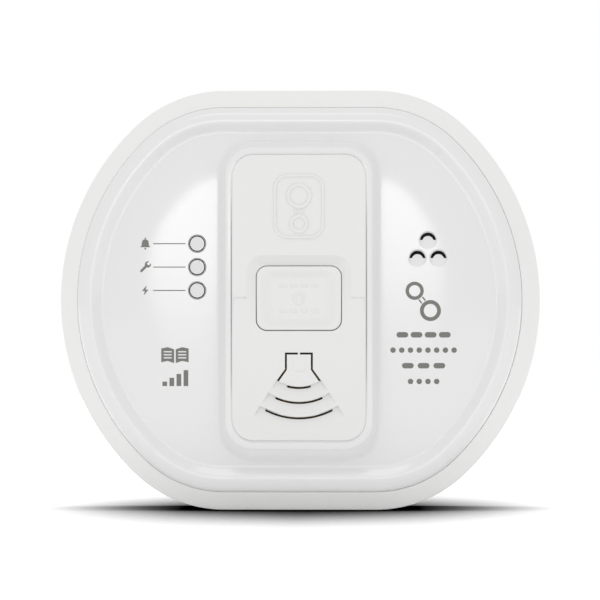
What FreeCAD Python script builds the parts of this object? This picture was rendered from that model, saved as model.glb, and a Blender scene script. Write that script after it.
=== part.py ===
import FreeCAD, Part
import math
import os
import Sketcher
from FreeCAD import Placement, Rotation, Vector

# Carbon monoxide detector: a round wall or shelf alarm with flat top and bottom.
# Frame: X to the right, Y from front to rear, Z up.
# The middle of the depth is y = 0 and the flat bottom is z = 0.
# Sizes are in millimetres. Cells that end in _y are places along the depth, and the front is negative.

DIMENSIONS = (
    ("width", 120.0, "overall width of the case"),
    ("height", 105.0, "overall height of the case, flat to flat"),
    ("corner_radius", 32.5, "corner radius of the case outline"),
    ("wall_y", 22.0, "rear face of the mounting plate"),
    ("case_rear_y", 21.5, "rear edge of the back cover"),
    ("floor_rear_y", 18.5, "bottom of the plate pocket"),
    ("floor_y", 16.5, "inner face of the rear wall"),
    ("shoulder_y", -8.0, "where the straight side ends and the shoulder starts"),
    ("parting_y", -14.0, "where the two covers meet"),
    ("rim_y", -18.4, "crest of the front rim"),
    ("foot_y", -16.8, "lowest line of the well inside the rim"),
    ("face_y", -17.9, "flat middle of the front face"),
    ("inside_y", -15.0, "inner face of the front cover"),
    ("panel_y", -22.0, "middle of the centre panel's front"),
    ("ledge_y", -19.9, "ledge that the centre panel rests on"),
    ("shell_wall", 2.5, "wall of the back cover"),
    ("shoulder_width", 4.8, "shoulder, seen from the front"),
    ("rear_edge_radius", 1.5, "rounding of the rear edge"),
    ("pocket_inset", 9.0, "plate pocket, in from the outline"),
    ("rim_band", 3.4, "radius of the rim's outer band"),
    ("crest_inset", 8.5, "start of the rim's inner slope"),
    ("foot_inset", 11.3, "end of the rim's inner slope"),
    ("dome_inset", 18.0, "middle section of the domed face"),
    ("dome_y", -17.55, "depth of that section"),
    ("flat_inset", 26.0, "start of the flat middle of the face"),
    ("lip_inset", 7.5, "locating lip of the front cover"),
    ("lip_wall", 1.3, "thickness of the lip"),
    ("lip_length", 2.0, "how far the lip enters the back cover"),
    ("pedestal_width", 40.7, "foot of the pedestal"),
    ("pedestal_height", 79.0, "foot of the pedestal"),
    ("pedestal_radius", 9.0, "corner radius at the foot"),
    ("pedestal_slope", 3.35, "how far the pedestal's sides lean in"),
    ("pedestal_end_slope", 4.3, "how far its ends lean in"),
    ("opening_width", 33.6, "opening in the pedestal for the panel"),
    ("opening_height", 71.4, "opening in the pedestal for the panel"),
    ("opening_radius", 5.5, "corner radius of that opening"),
    ("ledge_width", 2.3, "ledge below the panel's edge"),
    ("panel_gap", 0.2, "gap round the panel and round the button"),
    ("panel_arch", 888.0, "radius of the panel's gentle arch from top to bottom"),
    ("panel_z", 52.9, "middle height of the panel"),
    ("button_z", 52.7, "middle height of the button"),
    ("button_hole_width", 21.3, "opening for the button"),
    ("button_hole_height", 16.2, "opening for the button"),
    ("button_hole_radius", 2.8, "corner radius of that opening"),
    ("button_face_y", -21.7, "front of the button"),
    ("button_travel", 0.6, "how far the button presses in"),
    ("button_dish", 0.45, "depth of the dish in the button"),
    ("recess_width", 26.0, "ramped recess round the button"),
    ("recess_top", 10.6, "top edge of the recess above the button's middle"),
    ("recess_foot", 8.9, "where the recess fades out, below the button's middle"),
    ("recess_depth", 1.1, "depth of the recess at its top edge"),
    ("recess_radius", 4.2, "corner radius of the recess"),
    ("notch_width", 3.2, "small ramped notch on each side of the recess"),
    ("notch_top", 0.2, "top edge of the notches above the button's middle"),
    ("notch_foot", 6.0, "where the notches fade out below the button's middle"),
    ("notch_depth", 0.7, "depth of the notches"),
    ("horn_z", 40.8, "height that the sounder arcs are drawn round"),
    ("arc_radius_1", 10.0, "radius of the first arc slot"),
    ("arc_radius_2", 13.7, "radius of the second arc slot"),
    ("arc_radius_3", 17.5, "radius of the third arc slot"),
    ("arc_sector", 66.0, "angle that the ramps below the slots span"),
    ("arc_slot", 0.5, "width of the slots"),
    ("arc_ramp", 3.1, "length of the ramp below each slot"),
    ("arc_depth", 0.9, "depth of the ramp at the slot"),
    ("neck_half", 3.2, "half the width of the horn's neck"),
    ("neck_top_z", 39.05, "top of the neck slot"),
    ("neck_foot_z", 35.1, "bottom of the straight neck slots"),
    ("flare_half", 5.2, "half the width of the flare"),
    ("flare_foot_z", 32.3, "bottom of the flare slots"),
    ("light_x", -25.3, "the row of three lights"),
    ("light_z", 54.7, "lowest light"),
    ("light_pitch", 5.8, "from light to light"),
    ("light_hole", 4.1, "diameter of the holes for the lights"),
    ("light_rod", 3.5, "diameter of the light rods"),
    ("gas_x", 31.9, "middle of the three gas inlets"),
    ("gas_z", 64.1, "middle of the three gas inlets"),
    ("gas_circle", 3.0, "radius of the circle through the three inlets"),
    ("gas_diameter", 4.2, "diameter of one inlet dimple"),
    ("gas_depth", 1.0, "depth of the dimple at its top"),
    ("gas_slot", 0.45, "width of the crescent slot"),
    ("board_y", 4.2, "front of the circuit board"),
    ("board_thickness", 1.6, "circuit board"),
    ("board_width", 88.0, "circuit board"),
    ("board_height", 72.0, "circuit board"),
    ("screw_x", 36.0, "case screws, from the middle"),
    ("screw_z", 29.0, "case screws, from the middle height"),
    ("screw_shank", 2.9, "diameter of the case screws"),
    ("screw_head", 5.6, "diameter of their heads"),
    ("boss_diameter", 7.0, "screw bosses"),
    ("plate_width", 93.0, "mounting plate"),
    ("plate_height", 76.0, "mounting plate"),
    ("plate_radius", 23.0, "corner radius of the plate"),
    ("plate_z", 56.5, "middle height of the plate"),
    ("plate_front_y", 18.7, "front face of the plate"),
    ("plate_travel", 8.0, "how far the plate slides to come free"),
    ("wall_screw_pitch", 60.0, "distance between the two wall screws"),
    ("wall_screw_hole", 4.5, "wall screw holes"),
    ("wall_screw_sink", 9.0, "countersinks of the wall screw holes"),
    ("hook_x", 25.0, "plate hooks, from the middle"),
    ("hook_width", 6.0, "plate hooks"),
    ("hook_low_z", 34.0, "foot of the lower hooks"),
    ("hook_high_z", 76.0, "foot of the upper hooks"),
    ("hook_neck", 3.0, "height of a hook's neck"),
    ("hook_lip", 3.5, "how far a hook's lip reaches above its neck"),
    ("hook_clearance", 0.3, "play round the hooks"),
    ("switch_x", -20.0, "power switch and its plunger"),
    ("switch_z", 60.0, "power switch and its plunger"),
    ("plunger_diameter", 4.0, "power plunger"),
    ("plunger_travel", 2.0, "how far the plunger comes out"),
    ("plunger_gap", 0.2, "gap from the plunger's tip to the plate"),
    ("sensor_diameter", 20.0, "gas sensor"),
    ("battery_diameter", 17.0, "battery cell"),
    ("battery_length", 45.0, "battery cell"),
    ("battery_z", 86.0, "axis of the battery"),
    ("battery_y", -5.0, "axis of the battery"),
    ("sounder_z", 30.0, "axis of the sounder"),
    ("sounder_diameter", 31.0, "chamber of the sounder"),
    ("cut_start", 1.0, "how far outside the material a cut starts"),
    ("fuse_depth", 0.5, "how far one feature reaches into the next"),
    ("rear_boss_diameter", 8.6, "short bosses behind the board"),
    ("seat_depth", 2.3, "depth of the seats for the screw heads"),
    ("seat_diameter", 6.0, "seats for the screw heads"),
    ("screw_play", 0.3, "play round the screws' shanks"),
    ("pilot_depth", 12.0, "pilot holes in the front bosses"),
    ("plunger_hole", 4.4, "hole for the plunger in the rear wall"),
    ("plunger_nose", 0.5, "radius of the flat on the plunger's cone"),
    ("slot_corner", 0.5, "corner radius of the hook slots"),
    ("crest_radius", 1.6, "rounding of the rim's inner edge"),
    ("pedestal_top_radius", 5.8, "corner radius at the pedestal's top"),
    ("pedestal_root", 1.5, "how far the pedestal's foot reaches into the cover"),
    ("arch_margin", 4.0, "how far the arch cut runs past the opening"),
    ("notch_overlap", 0.05, "how far the notches reach into the recess"),
    ("arc_slot_angle_1", 33.0, "angle that the first arc slot spans"),
    ("arc_slot_angle_2", 49.0, "angle that the second arc slot spans"),
    ("arc_slot_angle_3", 55.5, "angle that the third arc slot spans"),
    ("neck_bridge", 0.25, "half the bridge in the neck's top bar"),
    ("neck_mitre", 0.08, "shift of the neck slot's corners at its bend"),
    ("flare_mitre", 0.1, "shift of the flare slot's corners at its end"),
    ("leg_spacing", 27.0, "snap legs above and below the panel's middle"),
    ("leg_width", 4.0, "snap legs"),
    ("leg_thickness", 1.0, "snap legs"),
    ("leg_play", 0.2, "gap between a snap leg and the opening"),
    ("leg_barb", 0.8, "how far a leg's barb stands out"),
    ("button_skirt", 1.2, "how far the button's wall runs below the ledge"),
    ("button_edge", 0.3, "rounding of the button's front edge"),
    ("dish_flat", 5.1, "half the height of the dish's floor"),
    ("dish_edge", 7.1, "half the height of the dish at the surface"),
    ("flange_size", 3.0, "how much larger the button's flange is than its hole"),
    ("flange_thickness", 1.2, "button's flange"),
    ("stem_diameter", 6.0, "stem behind the button"),
    ("switch_reach", 5.1, "tip of the test switch's plunger in front of the board"),
    ("switch_size", 6.0, "can of the test switch"),
    ("switch_height", 3.5, "can of the test switch"),
    ("switch_foot", 2.2, "rear end of that plunger in front of the board"),
    ("switch_play", 0.1, "play behind that plunger when it is pressed in"),
    ("switch_bore", 3.4, "bore of both switches"),
    ("power_size", 8.0, "can of the power switch"),
    ("power_height", 5.0, "can of the power switch"),
    ("tip_gap", 0.05, "gap between the button's stem and the switch"),
    ("board_corner", 8.0, "corner radius of the circuit board"),
    ("led_height", 4.6, "light-emitting diodes on the board"),
    ("bar_width", 6.0, "bar that joins the light rods"),
    ("bar_depth", 1.5, "bar that joins the light rods"),
    ("bar_gap", 0.7, "gap between that bar and the cover"),
    ("rod_gap", 0.4, "gap between the rods and the lights"),
    ("pin_circle", 5.0, "radius of the circle through the sensor's pins"),
    ("pin_diameter", 1.2, "sensor pins"),
    ("hook_lip_depth", 1.8, "thickness of a hook's lip"),
    ("hook_chamfer", 1.2, "slope at the tip of a hook's lip"),
)

doc = FreeCAD.newDocument("carbon_monoxide_detector")
sheet = doc.addObject("Spreadsheet::Sheet", "Sheet")
for row, (alias, size, meaning) in enumerate(DIMENSIONS, start=1):
    sheet.set(f"A{row}", meaning)
    sheet.set(f"B{row}", str(size))
    sheet.setAlias(f"B{row}", alias)
doc.recompute()

MIDDLE_Z = "Sheet.height / 2"
SWITCH_TIP_Y = "(Sheet.board_y - Sheet.switch_reach)"
# Lengths of cuts that go right through one wall
REAR_WALL_CUT = "Sheet.floor_rear_y - Sheet.floor_y + 2 * Sheet.cut_start"
FACE_CUT = "Sheet.inside_y - Sheet.face_y + 2 * Sheet.cut_start"
PANEL_CUT = "Sheet.ledge_y - Sheet.panel_y + 2 * Sheet.cut_start"
THROUGH = 60.0
ON_AXIS = "0"
# A ramp is drawn this much longer than it shows, so that its floor leaves the surface cleanly
OVERSHOOT = 1.2
nodes = []


# Helpers: cells and expressions


def value(expression):
    """The number that an expression gives now."""
    result = sheet.evalExpression(str(expression))
    return float(getattr(result, "Value", result))


def bind(item, path, expression):
    """Bind one property or constraint of an object to an expression."""
    item.setExpression(path, str(expression))


def minus(expression):
    return f"-({expression})"


# Helpers: sketches


def new_body(name):
    """A new sub-part, built from sketches."""
    body = doc.addObject("PartDesign::Body", name)
    body.Label = name
    nodes.append(body)
    return body


def new_sketch(body, name, role, across=ON_AXIS, up=ON_AXIS, out=ON_AXIS):
    """A sketch on one of the body's origin planes, moved in the plane by across and up, off it by out."""
    sketch = body.newObject("Sketcher::SketchObject", name)
    plane = next(item for item in body.Origin.OriginFeatures if item.Role == role)
    sketch.AttachmentSupport = [(plane, "")]
    sketch.MapMode = "FlatFace"
    for axis, expression in (("x", across), ("y", up), ("z", out)):
        bind(sketch, f".AttachmentOffset.Base.{axis}", expression)
    return sketch


def front_sketch(body, name, depth, x=ON_AXIS, z=ON_AXIS):
    """A sketch that faces the front, at a place along the depth. Its axes are X and Z."""
    return new_sketch(body, name, "XZ_Plane", x, z, minus(depth))


def side_sketch(body, name, x=ON_AXIS, y=ON_AXIS, z=ON_AXIS):
    """A sketch that faces the side. Its axes are Y and Z."""
    return new_sketch(body, name, "YZ_Plane", y, z, x)


def flat_sketch(body, name, x=ON_AXIS, y=ON_AXIS, z=ON_AXIS):
    """A sketch seen from above. Its axes are X and Y."""
    return new_sketch(body, name, "XY_Plane", x, y, z)


def constrain(sketch, kind, *targets, expression):
    """Add one dimension and bind it to an expression."""
    index = sketch.addConstraint(Sketcher.Constraint(kind, *targets, value(expression)))
    bind(sketch, f"Constraints[{index}]", expression)


def pin(sketch, edge, point, across, up):
    """Hold one point of a sketch at two distances from the sketch's origin."""
    constrain(sketch, "DistanceX", -1, 1, edge, point, expression=across)
    constrain(sketch, "DistanceY", -1, 1, edge, point, expression=up)


def arc(middle_x, middle_y, radius, start, end):
    """Arc geometry from a start to an end angle in radians."""
    return Part.ArcOfCircle(Part.Circle(Vector(middle_x, middle_y, 0), Vector(0, 0, 1), radius), start, end)


def line(start, end):
    return Part.LineSegment(Vector(*start, 0), Vector(*end, 0))


def join_smoothly(sketch, edges):
    """Make every edge run into the next one, tangent to it, round a closed loop."""
    for here, there in zip(edges, edges[1:] + edges[:1]):
        sketch.addConstraint(Sketcher.Constraint("Tangent", here, 2, there, 1))


def case_outline(sketch, half_width, half_height, corner, middle_z):
    """The case's outline: two side arcs about the middle, flats at top and bottom, tangent corner arcs."""
    half_w, half_h, radius, middle = (value(e) for e in (half_width, half_height, corner, middle_z))
    rise = half_h - radius
    reach = math.sqrt((half_w - radius) ** 2 - rise**2)
    turn = math.atan2(rise, reach)
    quarter = math.pi / 2
    top, foot = middle + half_h, middle - half_h
    edges = sketch.addGeometry(
        [
            arc(0, middle, half_w, -turn, turn),
            arc(reach, middle + rise, radius, turn, quarter),
            line((reach, top), (-reach, top)),
            arc(-reach, middle + rise, radius, quarter, 2 * quarter - turn),
            arc(0, middle, half_w, 2 * quarter - turn, 2 * quarter + turn),
            arc(-reach, middle - rise, radius, 2 * quarter + turn, 3 * quarter),
            line((-reach, foot), (reach, foot)),
            arc(reach, middle - rise, radius, 3 * quarter, 4 * quarter - turn),
        ],
        False,
    )
    edges = list(edges)
    join_smoothly(sketch, edges)
    right, corner_1, flat_top, corner_2, left, corner_3, flat_foot, corner_4 = edges
    for side in (right, left):
        pin(sketch, side, 3, ON_AXIS, middle_z)
        constrain(sketch, "Radius", side, expression=half_width)
    for bend in (corner_1, corner_2, corner_3, corner_4):
        constrain(sketch, "Radius", bend, expression=corner)
    for flat, sign in ((flat_top, "+"), (flat_foot, "-")):
        sketch.addConstraint(Sketcher.Constraint("Horizontal", flat))
        constrain(sketch, "DistanceY", -1, 1, flat, 1, expression=f"{middle_z} {sign} ({half_height})")
    return sketch


def inset_outline(sketch, inset):
    """The case's outline, moved in by the same distance all round."""
    return case_outline(
        sketch,
        f"Sheet.width / 2 - ({inset})",
        f"Sheet.height / 2 - ({inset})",
        f"Sheet.corner_radius - ({inset})",
        MIDDLE_Z,
    )


def rounded_rectangle(sketch, middle_x, middle_y, width, height, corner):
    """A rectangle with round corners."""
    x, y, half_w, half_h, radius = (
        value(middle_x),
        value(middle_y),
        value(width) / 2,
        value(height) / 2,
        value(corner),
    )
    in_x, in_y = half_w - radius, half_h - radius
    quarter = math.pi / 2
    edges = list(
        sketch.addGeometry(
            [
                line((x - in_x, y - half_h), (x + in_x, y - half_h)),
                arc(x + in_x, y - in_y, radius, 3 * quarter, 4 * quarter),
                line((x + half_w, y - in_y), (x + half_w, y + in_y)),
                arc(x + in_x, y + in_y, radius, 0, quarter),
                line((x + in_x, y + half_h), (x - in_x, y + half_h)),
                arc(x - in_x, y + in_y, radius, quarter, 2 * quarter),
                line((x - half_w, y + in_y), (x - half_w, y - in_y)),
                arc(x - in_x, y - in_y, radius, 2 * quarter, 3 * quarter),
            ],
            False,
        )
    )
    join_smoothly(sketch, edges)
    foot, right, top, left = edges[0::2]
    for level, sign in ((foot, "-"), (top, "+")):
        sketch.addConstraint(Sketcher.Constraint("Horizontal", level))
        constrain(sketch, "DistanceY", -1, 1, level, 1, expression=f"{middle_y} {sign} ({height}) / 2")
    for upright, sign in ((left, "-"), (right, "+")):
        sketch.addConstraint(Sketcher.Constraint("Vertical", upright))
        constrain(sketch, "DistanceX", -1, 1, upright, 1, expression=f"{middle_x} {sign} ({width}) / 2")
    for bend in edges[1::2]:
        constrain(sketch, "Radius", bend, expression=corner)
    return sketch


def polygon(sketch, points):
    """A closed outline of straight edges through the given points."""
    places = [(value(across), value(up)) for across, up in points]
    edges = list(
        sketch.addGeometry([line(a, b) for a, b in zip(places, places[1:] + places[:1])], False)
    )
    for here, there in zip(edges, edges[1:] + edges[:1]):
        sketch.addConstraint(Sketcher.Constraint("Coincident", here, 2, there, 1))
    for edge, (across, up) in zip(edges, points):
        pin(sketch, edge, 1, across, up)
    return sketch


def circle(sketch, across, up, diameter):
    """A circle, held at its middle."""
    middle = Vector(value(across), value(up), 0)
    edge = sketch.addGeometry(Part.Circle(middle, Vector(0, 0, 1), value(diameter) / 2), False)
    pin(sketch, edge, 3, across, up)
    constrain(sketch, "Diameter", edge, expression=diameter)
    return sketch


# Helpers: features


def added(body, kind, sketch, name):
    """A feature made from one sketch."""
    feature = body.newObject(f"PartDesign::{kind}", name)
    feature.Profile = sketch
    sketch.Visibility = False
    return feature


def pad(body, sketch, length, to_rear=False, both_ways=False):
    """Material from a sketch: towards the front, or the rear, or half each way."""
    feature = added(body, "Pad", sketch, f"{sketch.Name}_pad")
    bind(feature, "Length", length)
    feature.Reversed = to_rear
    if both_ways:
        feature.SideType = "Symmetric"
    doc.recompute()
    return feature


def check_cut(body, feature, before):
    """A cut that misses the material shows no error, so the volume is compared."""
    doc.recompute()
    if body.Shape.Volume > before - 0.001:
        raise RuntimeError(f"{feature.Name} takes nothing away")
    return feature


def pocket(body, sketch, length, to_front=False, both_ways=False):
    """A cut from a sketch: towards the rear, or the front, or half each way."""
    before = body.Shape.Volume
    feature = added(body, "Pocket", sketch, f"{sketch.Name}_cut")
    bind(feature, "Length", length)
    feature.Reversed = to_front
    if both_ways:
        feature.SideType = "Symmetric"
    return check_cut(body, feature, before)


def loft(body, sketches, ruled=True, cut=False):
    """A body or a cut that runs through several sketches."""
    before = body.Shape.Volume if cut else 0.0
    kind = "SubtractiveLoft" if cut else "AdditiveLoft"
    feature = added(body, kind, sketches[0], f"{sketches[0].Name}_loft")
    feature.Sections = sketches[1:]
    feature.Ruled = ruled
    if cut:
        return check_cut(body, feature, before)
    doc.recompute()
    return feature


def turn(body, sketch, axis="V_Axis"):
    """Material turned round one of the sketch's own axes."""
    feature = added(body, "Revolution", sketch, f"{sketch.Name}_turn")
    feature.ReferenceAxis = (sketch, [axis])
    feature.Angle = 360
    doc.recompute()
    return feature


def turned_cut(body, sketch, angle, axis="H_Axis"):
    """A cut turned round one of the sketch's own axes, half to each side."""
    before = body.Shape.Volume
    feature = added(body, "Groove", sketch, f"{sketch.Name}_groove")
    feature.ReferenceAxis = (sketch, [axis])
    feature.Midplane = True
    bind(feature, "Angle", angle)
    return check_cut(body, feature, before)


def mirror(body, feature, role="YZ_Plane"):
    """The same feature on the other side."""
    plane = next(item for item in body.Origin.OriginFeatures if item.Role == role)
    twin = body.newObject("PartDesign::Mirrored", f"{feature.Name}_mirror")
    twin.Originals = [feature]
    twin.MirrorPlane = (plane, [""])
    body.Tip = twin
    doc.recompute()
    return twin


def edges_where(feature, test):
    """Names of the feature's edges that pass a test."""
    return [f"Edge{i}" for i, edge in enumerate(feature.Shape.Edges, start=1) if test(edge)]


def lies_at(edge, axis, place):
    """Whether an edge lies in the plane at one place along an axis."""
    box = edge.BoundBox
    low, high = getattr(box, f"{axis}Min"), getattr(box, f"{axis}Max")
    return abs(low - place) < 0.01 and abs(high - place) < 0.01


def runs_along(edge, axis):
    """Whether an edge is straight and runs along an axis."""
    box = edge.BoundBox
    spans = {"X": box.XLength, "Y": box.YLength, "Z": box.ZLength}
    length = spans.pop(axis)
    return length > 0.2 and max(spans.values()) < 0.01


def fillet(body, feature, names, radius):
    """Round some edges of a feature."""
    if not names:
        raise RuntimeError(f"no edges to round on {feature.Name}")
    rounding = body.newObject("PartDesign::Fillet", f"{feature.Name}_fillet")
    rounding.Base = (feature, names)
    bind(rounding, "Radius", radius)
    doc.recompute()
    return rounding


def round_at(body, feature, axis, place, radius):
    """Round every edge that lies in one plane."""
    names = edges_where(feature, lambda edge: lies_at(edge, axis, value(place)))
    return fillet(body, feature, names, radius)


def turned_body(name, x, z, points):
    """A round piece about an axis along Y. Each point is a radius and a place along the depth."""
    body = new_body(name)
    turn(body, polygon(flat_sketch(body, f"{name}_profile", x, ON_AXIS, z), points))
    return body


# Helpers: plain pieces


def place(item, x, y, z, rotation=None):
    """Put a primitive at three expressions."""
    if rotation:
        item.Placement = Placement(Vector(), rotation)
    for axis, expression in (("x", x), ("y", y), ("z", z)):
        bind(item, f".Placement.Base.{axis}", expression)
    return item


def cylinder(name, x, y, z, diameter, length):
    """A cylinder from y towards the rear."""
    item = doc.addObject("Part::Cylinder", name)
    bind(item, "Radius", f"({diameter}) / 2")
    bind(item, "Height", length)
    return place(item, x, y, z, Rotation(Vector(1, 0, 0), -90))


def block(name, x, y, z, width, depth, height):
    """A box whose middle in X and Z is given, from y towards the rear."""
    item = doc.addObject("Part::Box", name)
    bind(item, "Length", width)
    bind(item, "Width", depth)
    bind(item, "Height", height)
    return place(item, f"{x} - ({width}) / 2", y, f"{z} - ({height}) / 2")


def kept(item, name):
    """Make an object a sub-part of the assembly."""
    item.Label = name
    nodes.append(item)
    return item


def group(name, items):
    """Several identical or related small solids in one sub-part."""
    bundle = doc.addObject("Part::Compound", name)
    bundle.Links = items
    return kept(bundle, name)


def cut(name, base, tool):
    """One object less another."""
    result = doc.addObject("Part::Cut", name)
    result.Base = base
    result.Tool = tool
    return kept(result, name)


def corners(x, z):
    """The four places at plus and minus x and z from the middle of the case."""
    return [(f"{a} * {x}", f"{MIDDLE_Z} + {b} * {z}") for a in (-1, 1) for b in (-1, 1)]


def arch_y(z):
    """Depth of the panel's arched front at a height."""
    return f"Sheet.panel_y + ({z} - Sheet.panel_z)^2 / (2 * Sheet.panel_arch)"


# Back cover


def make_back_cover():
    body = new_body("back_cover")
    side = inset_outline(front_sketch(body, "case_side", "Sheet.case_rear_y"), "0")
    walls = pad(body, side, "Sheet.case_rear_y - Sheet.shoulder_y")
    round_at(body, walls, "Y", "Sheet.case_rear_y", "Sheet.rear_edge_radius")
    wide = inset_outline(front_sketch(body, "shoulder_wide", "Sheet.shoulder_y"), "0")
    narrow = inset_outline(front_sketch(body, "shoulder_narrow", "Sheet.parting_y"), "Sheet.shoulder_width")
    loft(body, [wide, narrow])
    inner_mouth = inset_outline(
        front_sketch(body, "mouth_narrow", "Sheet.parting_y"), "Sheet.shoulder_width + Sheet.shell_wall"
    )
    inner_wide = inset_outline(front_sketch(body, "mouth_wide", "Sheet.shoulder_y"), "Sheet.shell_wall")
    loft(body, [inner_mouth, inner_wide], cut=True)
    hollow = inset_outline(front_sketch(body, "hollow", "Sheet.shoulder_y"), "Sheet.shell_wall")
    pocket(body, hollow, "Sheet.floor_y - Sheet.shoulder_y")
    well = front_sketch(body, "plate_pocket", "Sheet.floor_rear_y")
    pocket(body, inset_outline(well, "Sheet.pocket_inset"), THROUGH)
    add_rear_bosses(body)
    add_hook_slots(body)
    hole = circle(
        front_sketch(body, "plunger_hole", "Sheet.floor_y - Sheet.cut_start"),
        "Sheet.switch_x",
        "Sheet.switch_z",
        "Sheet.plunger_hole",
    )
    pocket(body, hole, REAR_WALL_CUT)
    return body


def add_rear_bosses(body):
    """Four short bosses that hold the board from behind, each with a hole and a seat for a screw head."""
    bosses = front_sketch(body, "rear_bosses", "Sheet.floor_y + Sheet.fuse_depth")
    for x, z in corners("Sheet.screw_x", "Sheet.screw_z"):
        circle(bosses, x, z, "Sheet.rear_boss_diameter")
    pad(body, bosses, "Sheet.floor_y + Sheet.fuse_depth - Sheet.board_y - Sheet.board_thickness")
    holes = front_sketch(body, "rear_holes", "Sheet.board_y")
    for x, z in corners("Sheet.screw_x", "Sheet.screw_z"):
        circle(holes, x, z, "Sheet.screw_shank + Sheet.screw_play")
    pocket(body, holes, THROUGH)
    seats = front_sketch(body, "head_seats", "Sheet.floor_rear_y - Sheet.seat_depth")
    for x, z in corners("Sheet.screw_x", "Sheet.screw_z"):
        circle(seats, x, z, "Sheet.seat_diameter")
    pocket(body, seats, THROUGH)


def add_hook_slots(body):
    """Four slots in the rear wall, long enough for the plate's hooks to enter and slide."""
    slots = front_sketch(body, "hook_slots", "Sheet.floor_y - Sheet.cut_start")
    height = "Sheet.hook_neck + Sheet.plate_travel + 2 * Sheet.hook_clearance"
    for foot in ("Sheet.hook_low_z", "Sheet.hook_high_z"):
        middle = f"{foot} + (Sheet.hook_neck - Sheet.plate_travel) / 2"
        for sign in (-1, 1):
            rounded_rectangle(
                slots,
                f"{sign} * Sheet.hook_x",
                middle,
                "Sheet.hook_width + 2 * Sheet.hook_clearance",
                height,
                "Sheet.slot_corner",
            )
    pocket(body, slots, REAR_WALL_CUT)


# Front cover


def make_front_cover():
    body = new_body("front_cover")
    band = inset_outline(front_sketch(body, "front_block", "Sheet.parting_y"), "Sheet.shoulder_width")
    block_pad = pad(body, band, "Sheet.parting_y - Sheet.rim_y")
    round_at(body, block_pad, "Y", "Sheet.rim_y", "Sheet.rim_band")
    crest = inset_outline(front_sketch(body, "well_crest", "Sheet.rim_y"), "Sheet.crest_inset")
    foot = inset_outline(front_sketch(body, "well_foot", "Sheet.foot_y"), "Sheet.foot_inset")
    well = loft(body, [crest, foot], cut=True)
    round_at(body, well, "Y", "Sheet.rim_y", "Sheet.crest_radius")
    sections = []
    for name, depth, inset in (
        ("dome_foot", "Sheet.foot_y", "Sheet.foot_inset"),
        ("dome_middle", "Sheet.dome_y", "Sheet.dome_inset"),
        ("dome_top", "Sheet.face_y", "Sheet.flat_inset"),
    ):
        sections.append(inset_outline(front_sketch(body, name, depth), inset))
    loft(body, sections)
    add_pedestal(body)
    hollow = inset_outline(
        front_sketch(body, "front_hollow", "Sheet.parting_y"), "Sheet.lip_inset + Sheet.lip_wall"
    )
    pocket(body, hollow, "Sheet.parting_y - Sheet.inside_y", to_front=True)
    add_panel_opening(body)
    add_lip(body)
    add_front_bosses(body)
    add_light_holes(body)
    add_gas_inlets(body)
    return body


def add_pedestal(body):
    """The raised middle with sloping sides, cut to the panel's gentle arch."""
    foot = rounded_rectangle(
        front_sketch(body, "pedestal_foot", "Sheet.face_y"),
        ON_AXIS,
        "Sheet.panel_z",
        "Sheet.pedestal_width",
        "Sheet.pedestal_height",
        "Sheet.pedestal_radius",
    )
    top = rounded_rectangle(
        front_sketch(body, "pedestal_top", "Sheet.panel_y"),
        ON_AXIS,
        "Sheet.panel_z",
        "Sheet.pedestal_width - 2 * Sheet.pedestal_slope",
        "Sheet.pedestal_height - 2 * Sheet.pedestal_end_slope",
        "Sheet.pedestal_top_radius",
    )
    loft(body, [foot, top])
    base = rounded_rectangle(
        front_sketch(body, "pedestal_base", "Sheet.face_y"),
        ON_AXIS,
        "Sheet.panel_z",
        "Sheet.pedestal_width",
        "Sheet.pedestal_height",
        "Sheet.pedestal_radius",
    )
    pad(body, base, "Sheet.pedestal_root", to_rear=True)
    trim_to_arch(body, "pedestal_arch")


def trim_to_arch(body, name):
    """Cut away everything in front of the arch, which runs from top to bottom."""
    before = body.Shape.Volume
    sketch = side_sketch(body, name)
    reach = value("Sheet.opening_height / 2 + Sheet.arch_margin")
    radius, front, middle = value("Sheet.panel_arch"), value("Sheet.panel_y"), value("Sheet.panel_z")
    clear = front - value("2 * Sheet.cut_start")
    swing = math.asin(reach / radius)
    end_y = front + radius * (1 - math.cos(swing))
    edges = sketch.addGeometry(
        [
            arc(front + radius, middle, radius, math.pi - swing, math.pi + swing),
            line((end_y, middle - reach), (clear, middle - reach)),
            line((clear, middle - reach), (clear, middle + reach)),
            line((clear, middle + reach), (end_y, middle + reach)),
        ],
        False,
    )
    edges = list(edges)
    for here, there in zip(edges, edges[1:] + edges[:1]):
        sketch.addConstraint(Sketcher.Constraint("Coincident", here, 2, there, 1))
    pin(sketch, edges[0], 3, "Sheet.panel_y + Sheet.panel_arch", "Sheet.panel_z")
    constrain(sketch, "Radius", edges[0], expression="Sheet.panel_arch")
    half = "(Sheet.opening_height / 2 + Sheet.arch_margin)"
    pin(sketch, edges[2], 1, "Sheet.panel_y - 2 * Sheet.cut_start", f"Sheet.panel_z - {half}")
    pin(sketch, edges[2], 2, "Sheet.panel_y - 2 * Sheet.cut_start", f"Sheet.panel_z + {half}")
    sketch.addConstraint(Sketcher.Constraint("Horizontal", edges[1]))
    sketch.addConstraint(Sketcher.Constraint("Horizontal", edges[3]))
    feature = added(body, "Pocket", sketch, f"{name}_cut")
    bind(feature, "Length", THROUGH)
    feature.SideType = "Symmetric"
    return check_cut(body, feature, before)


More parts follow.
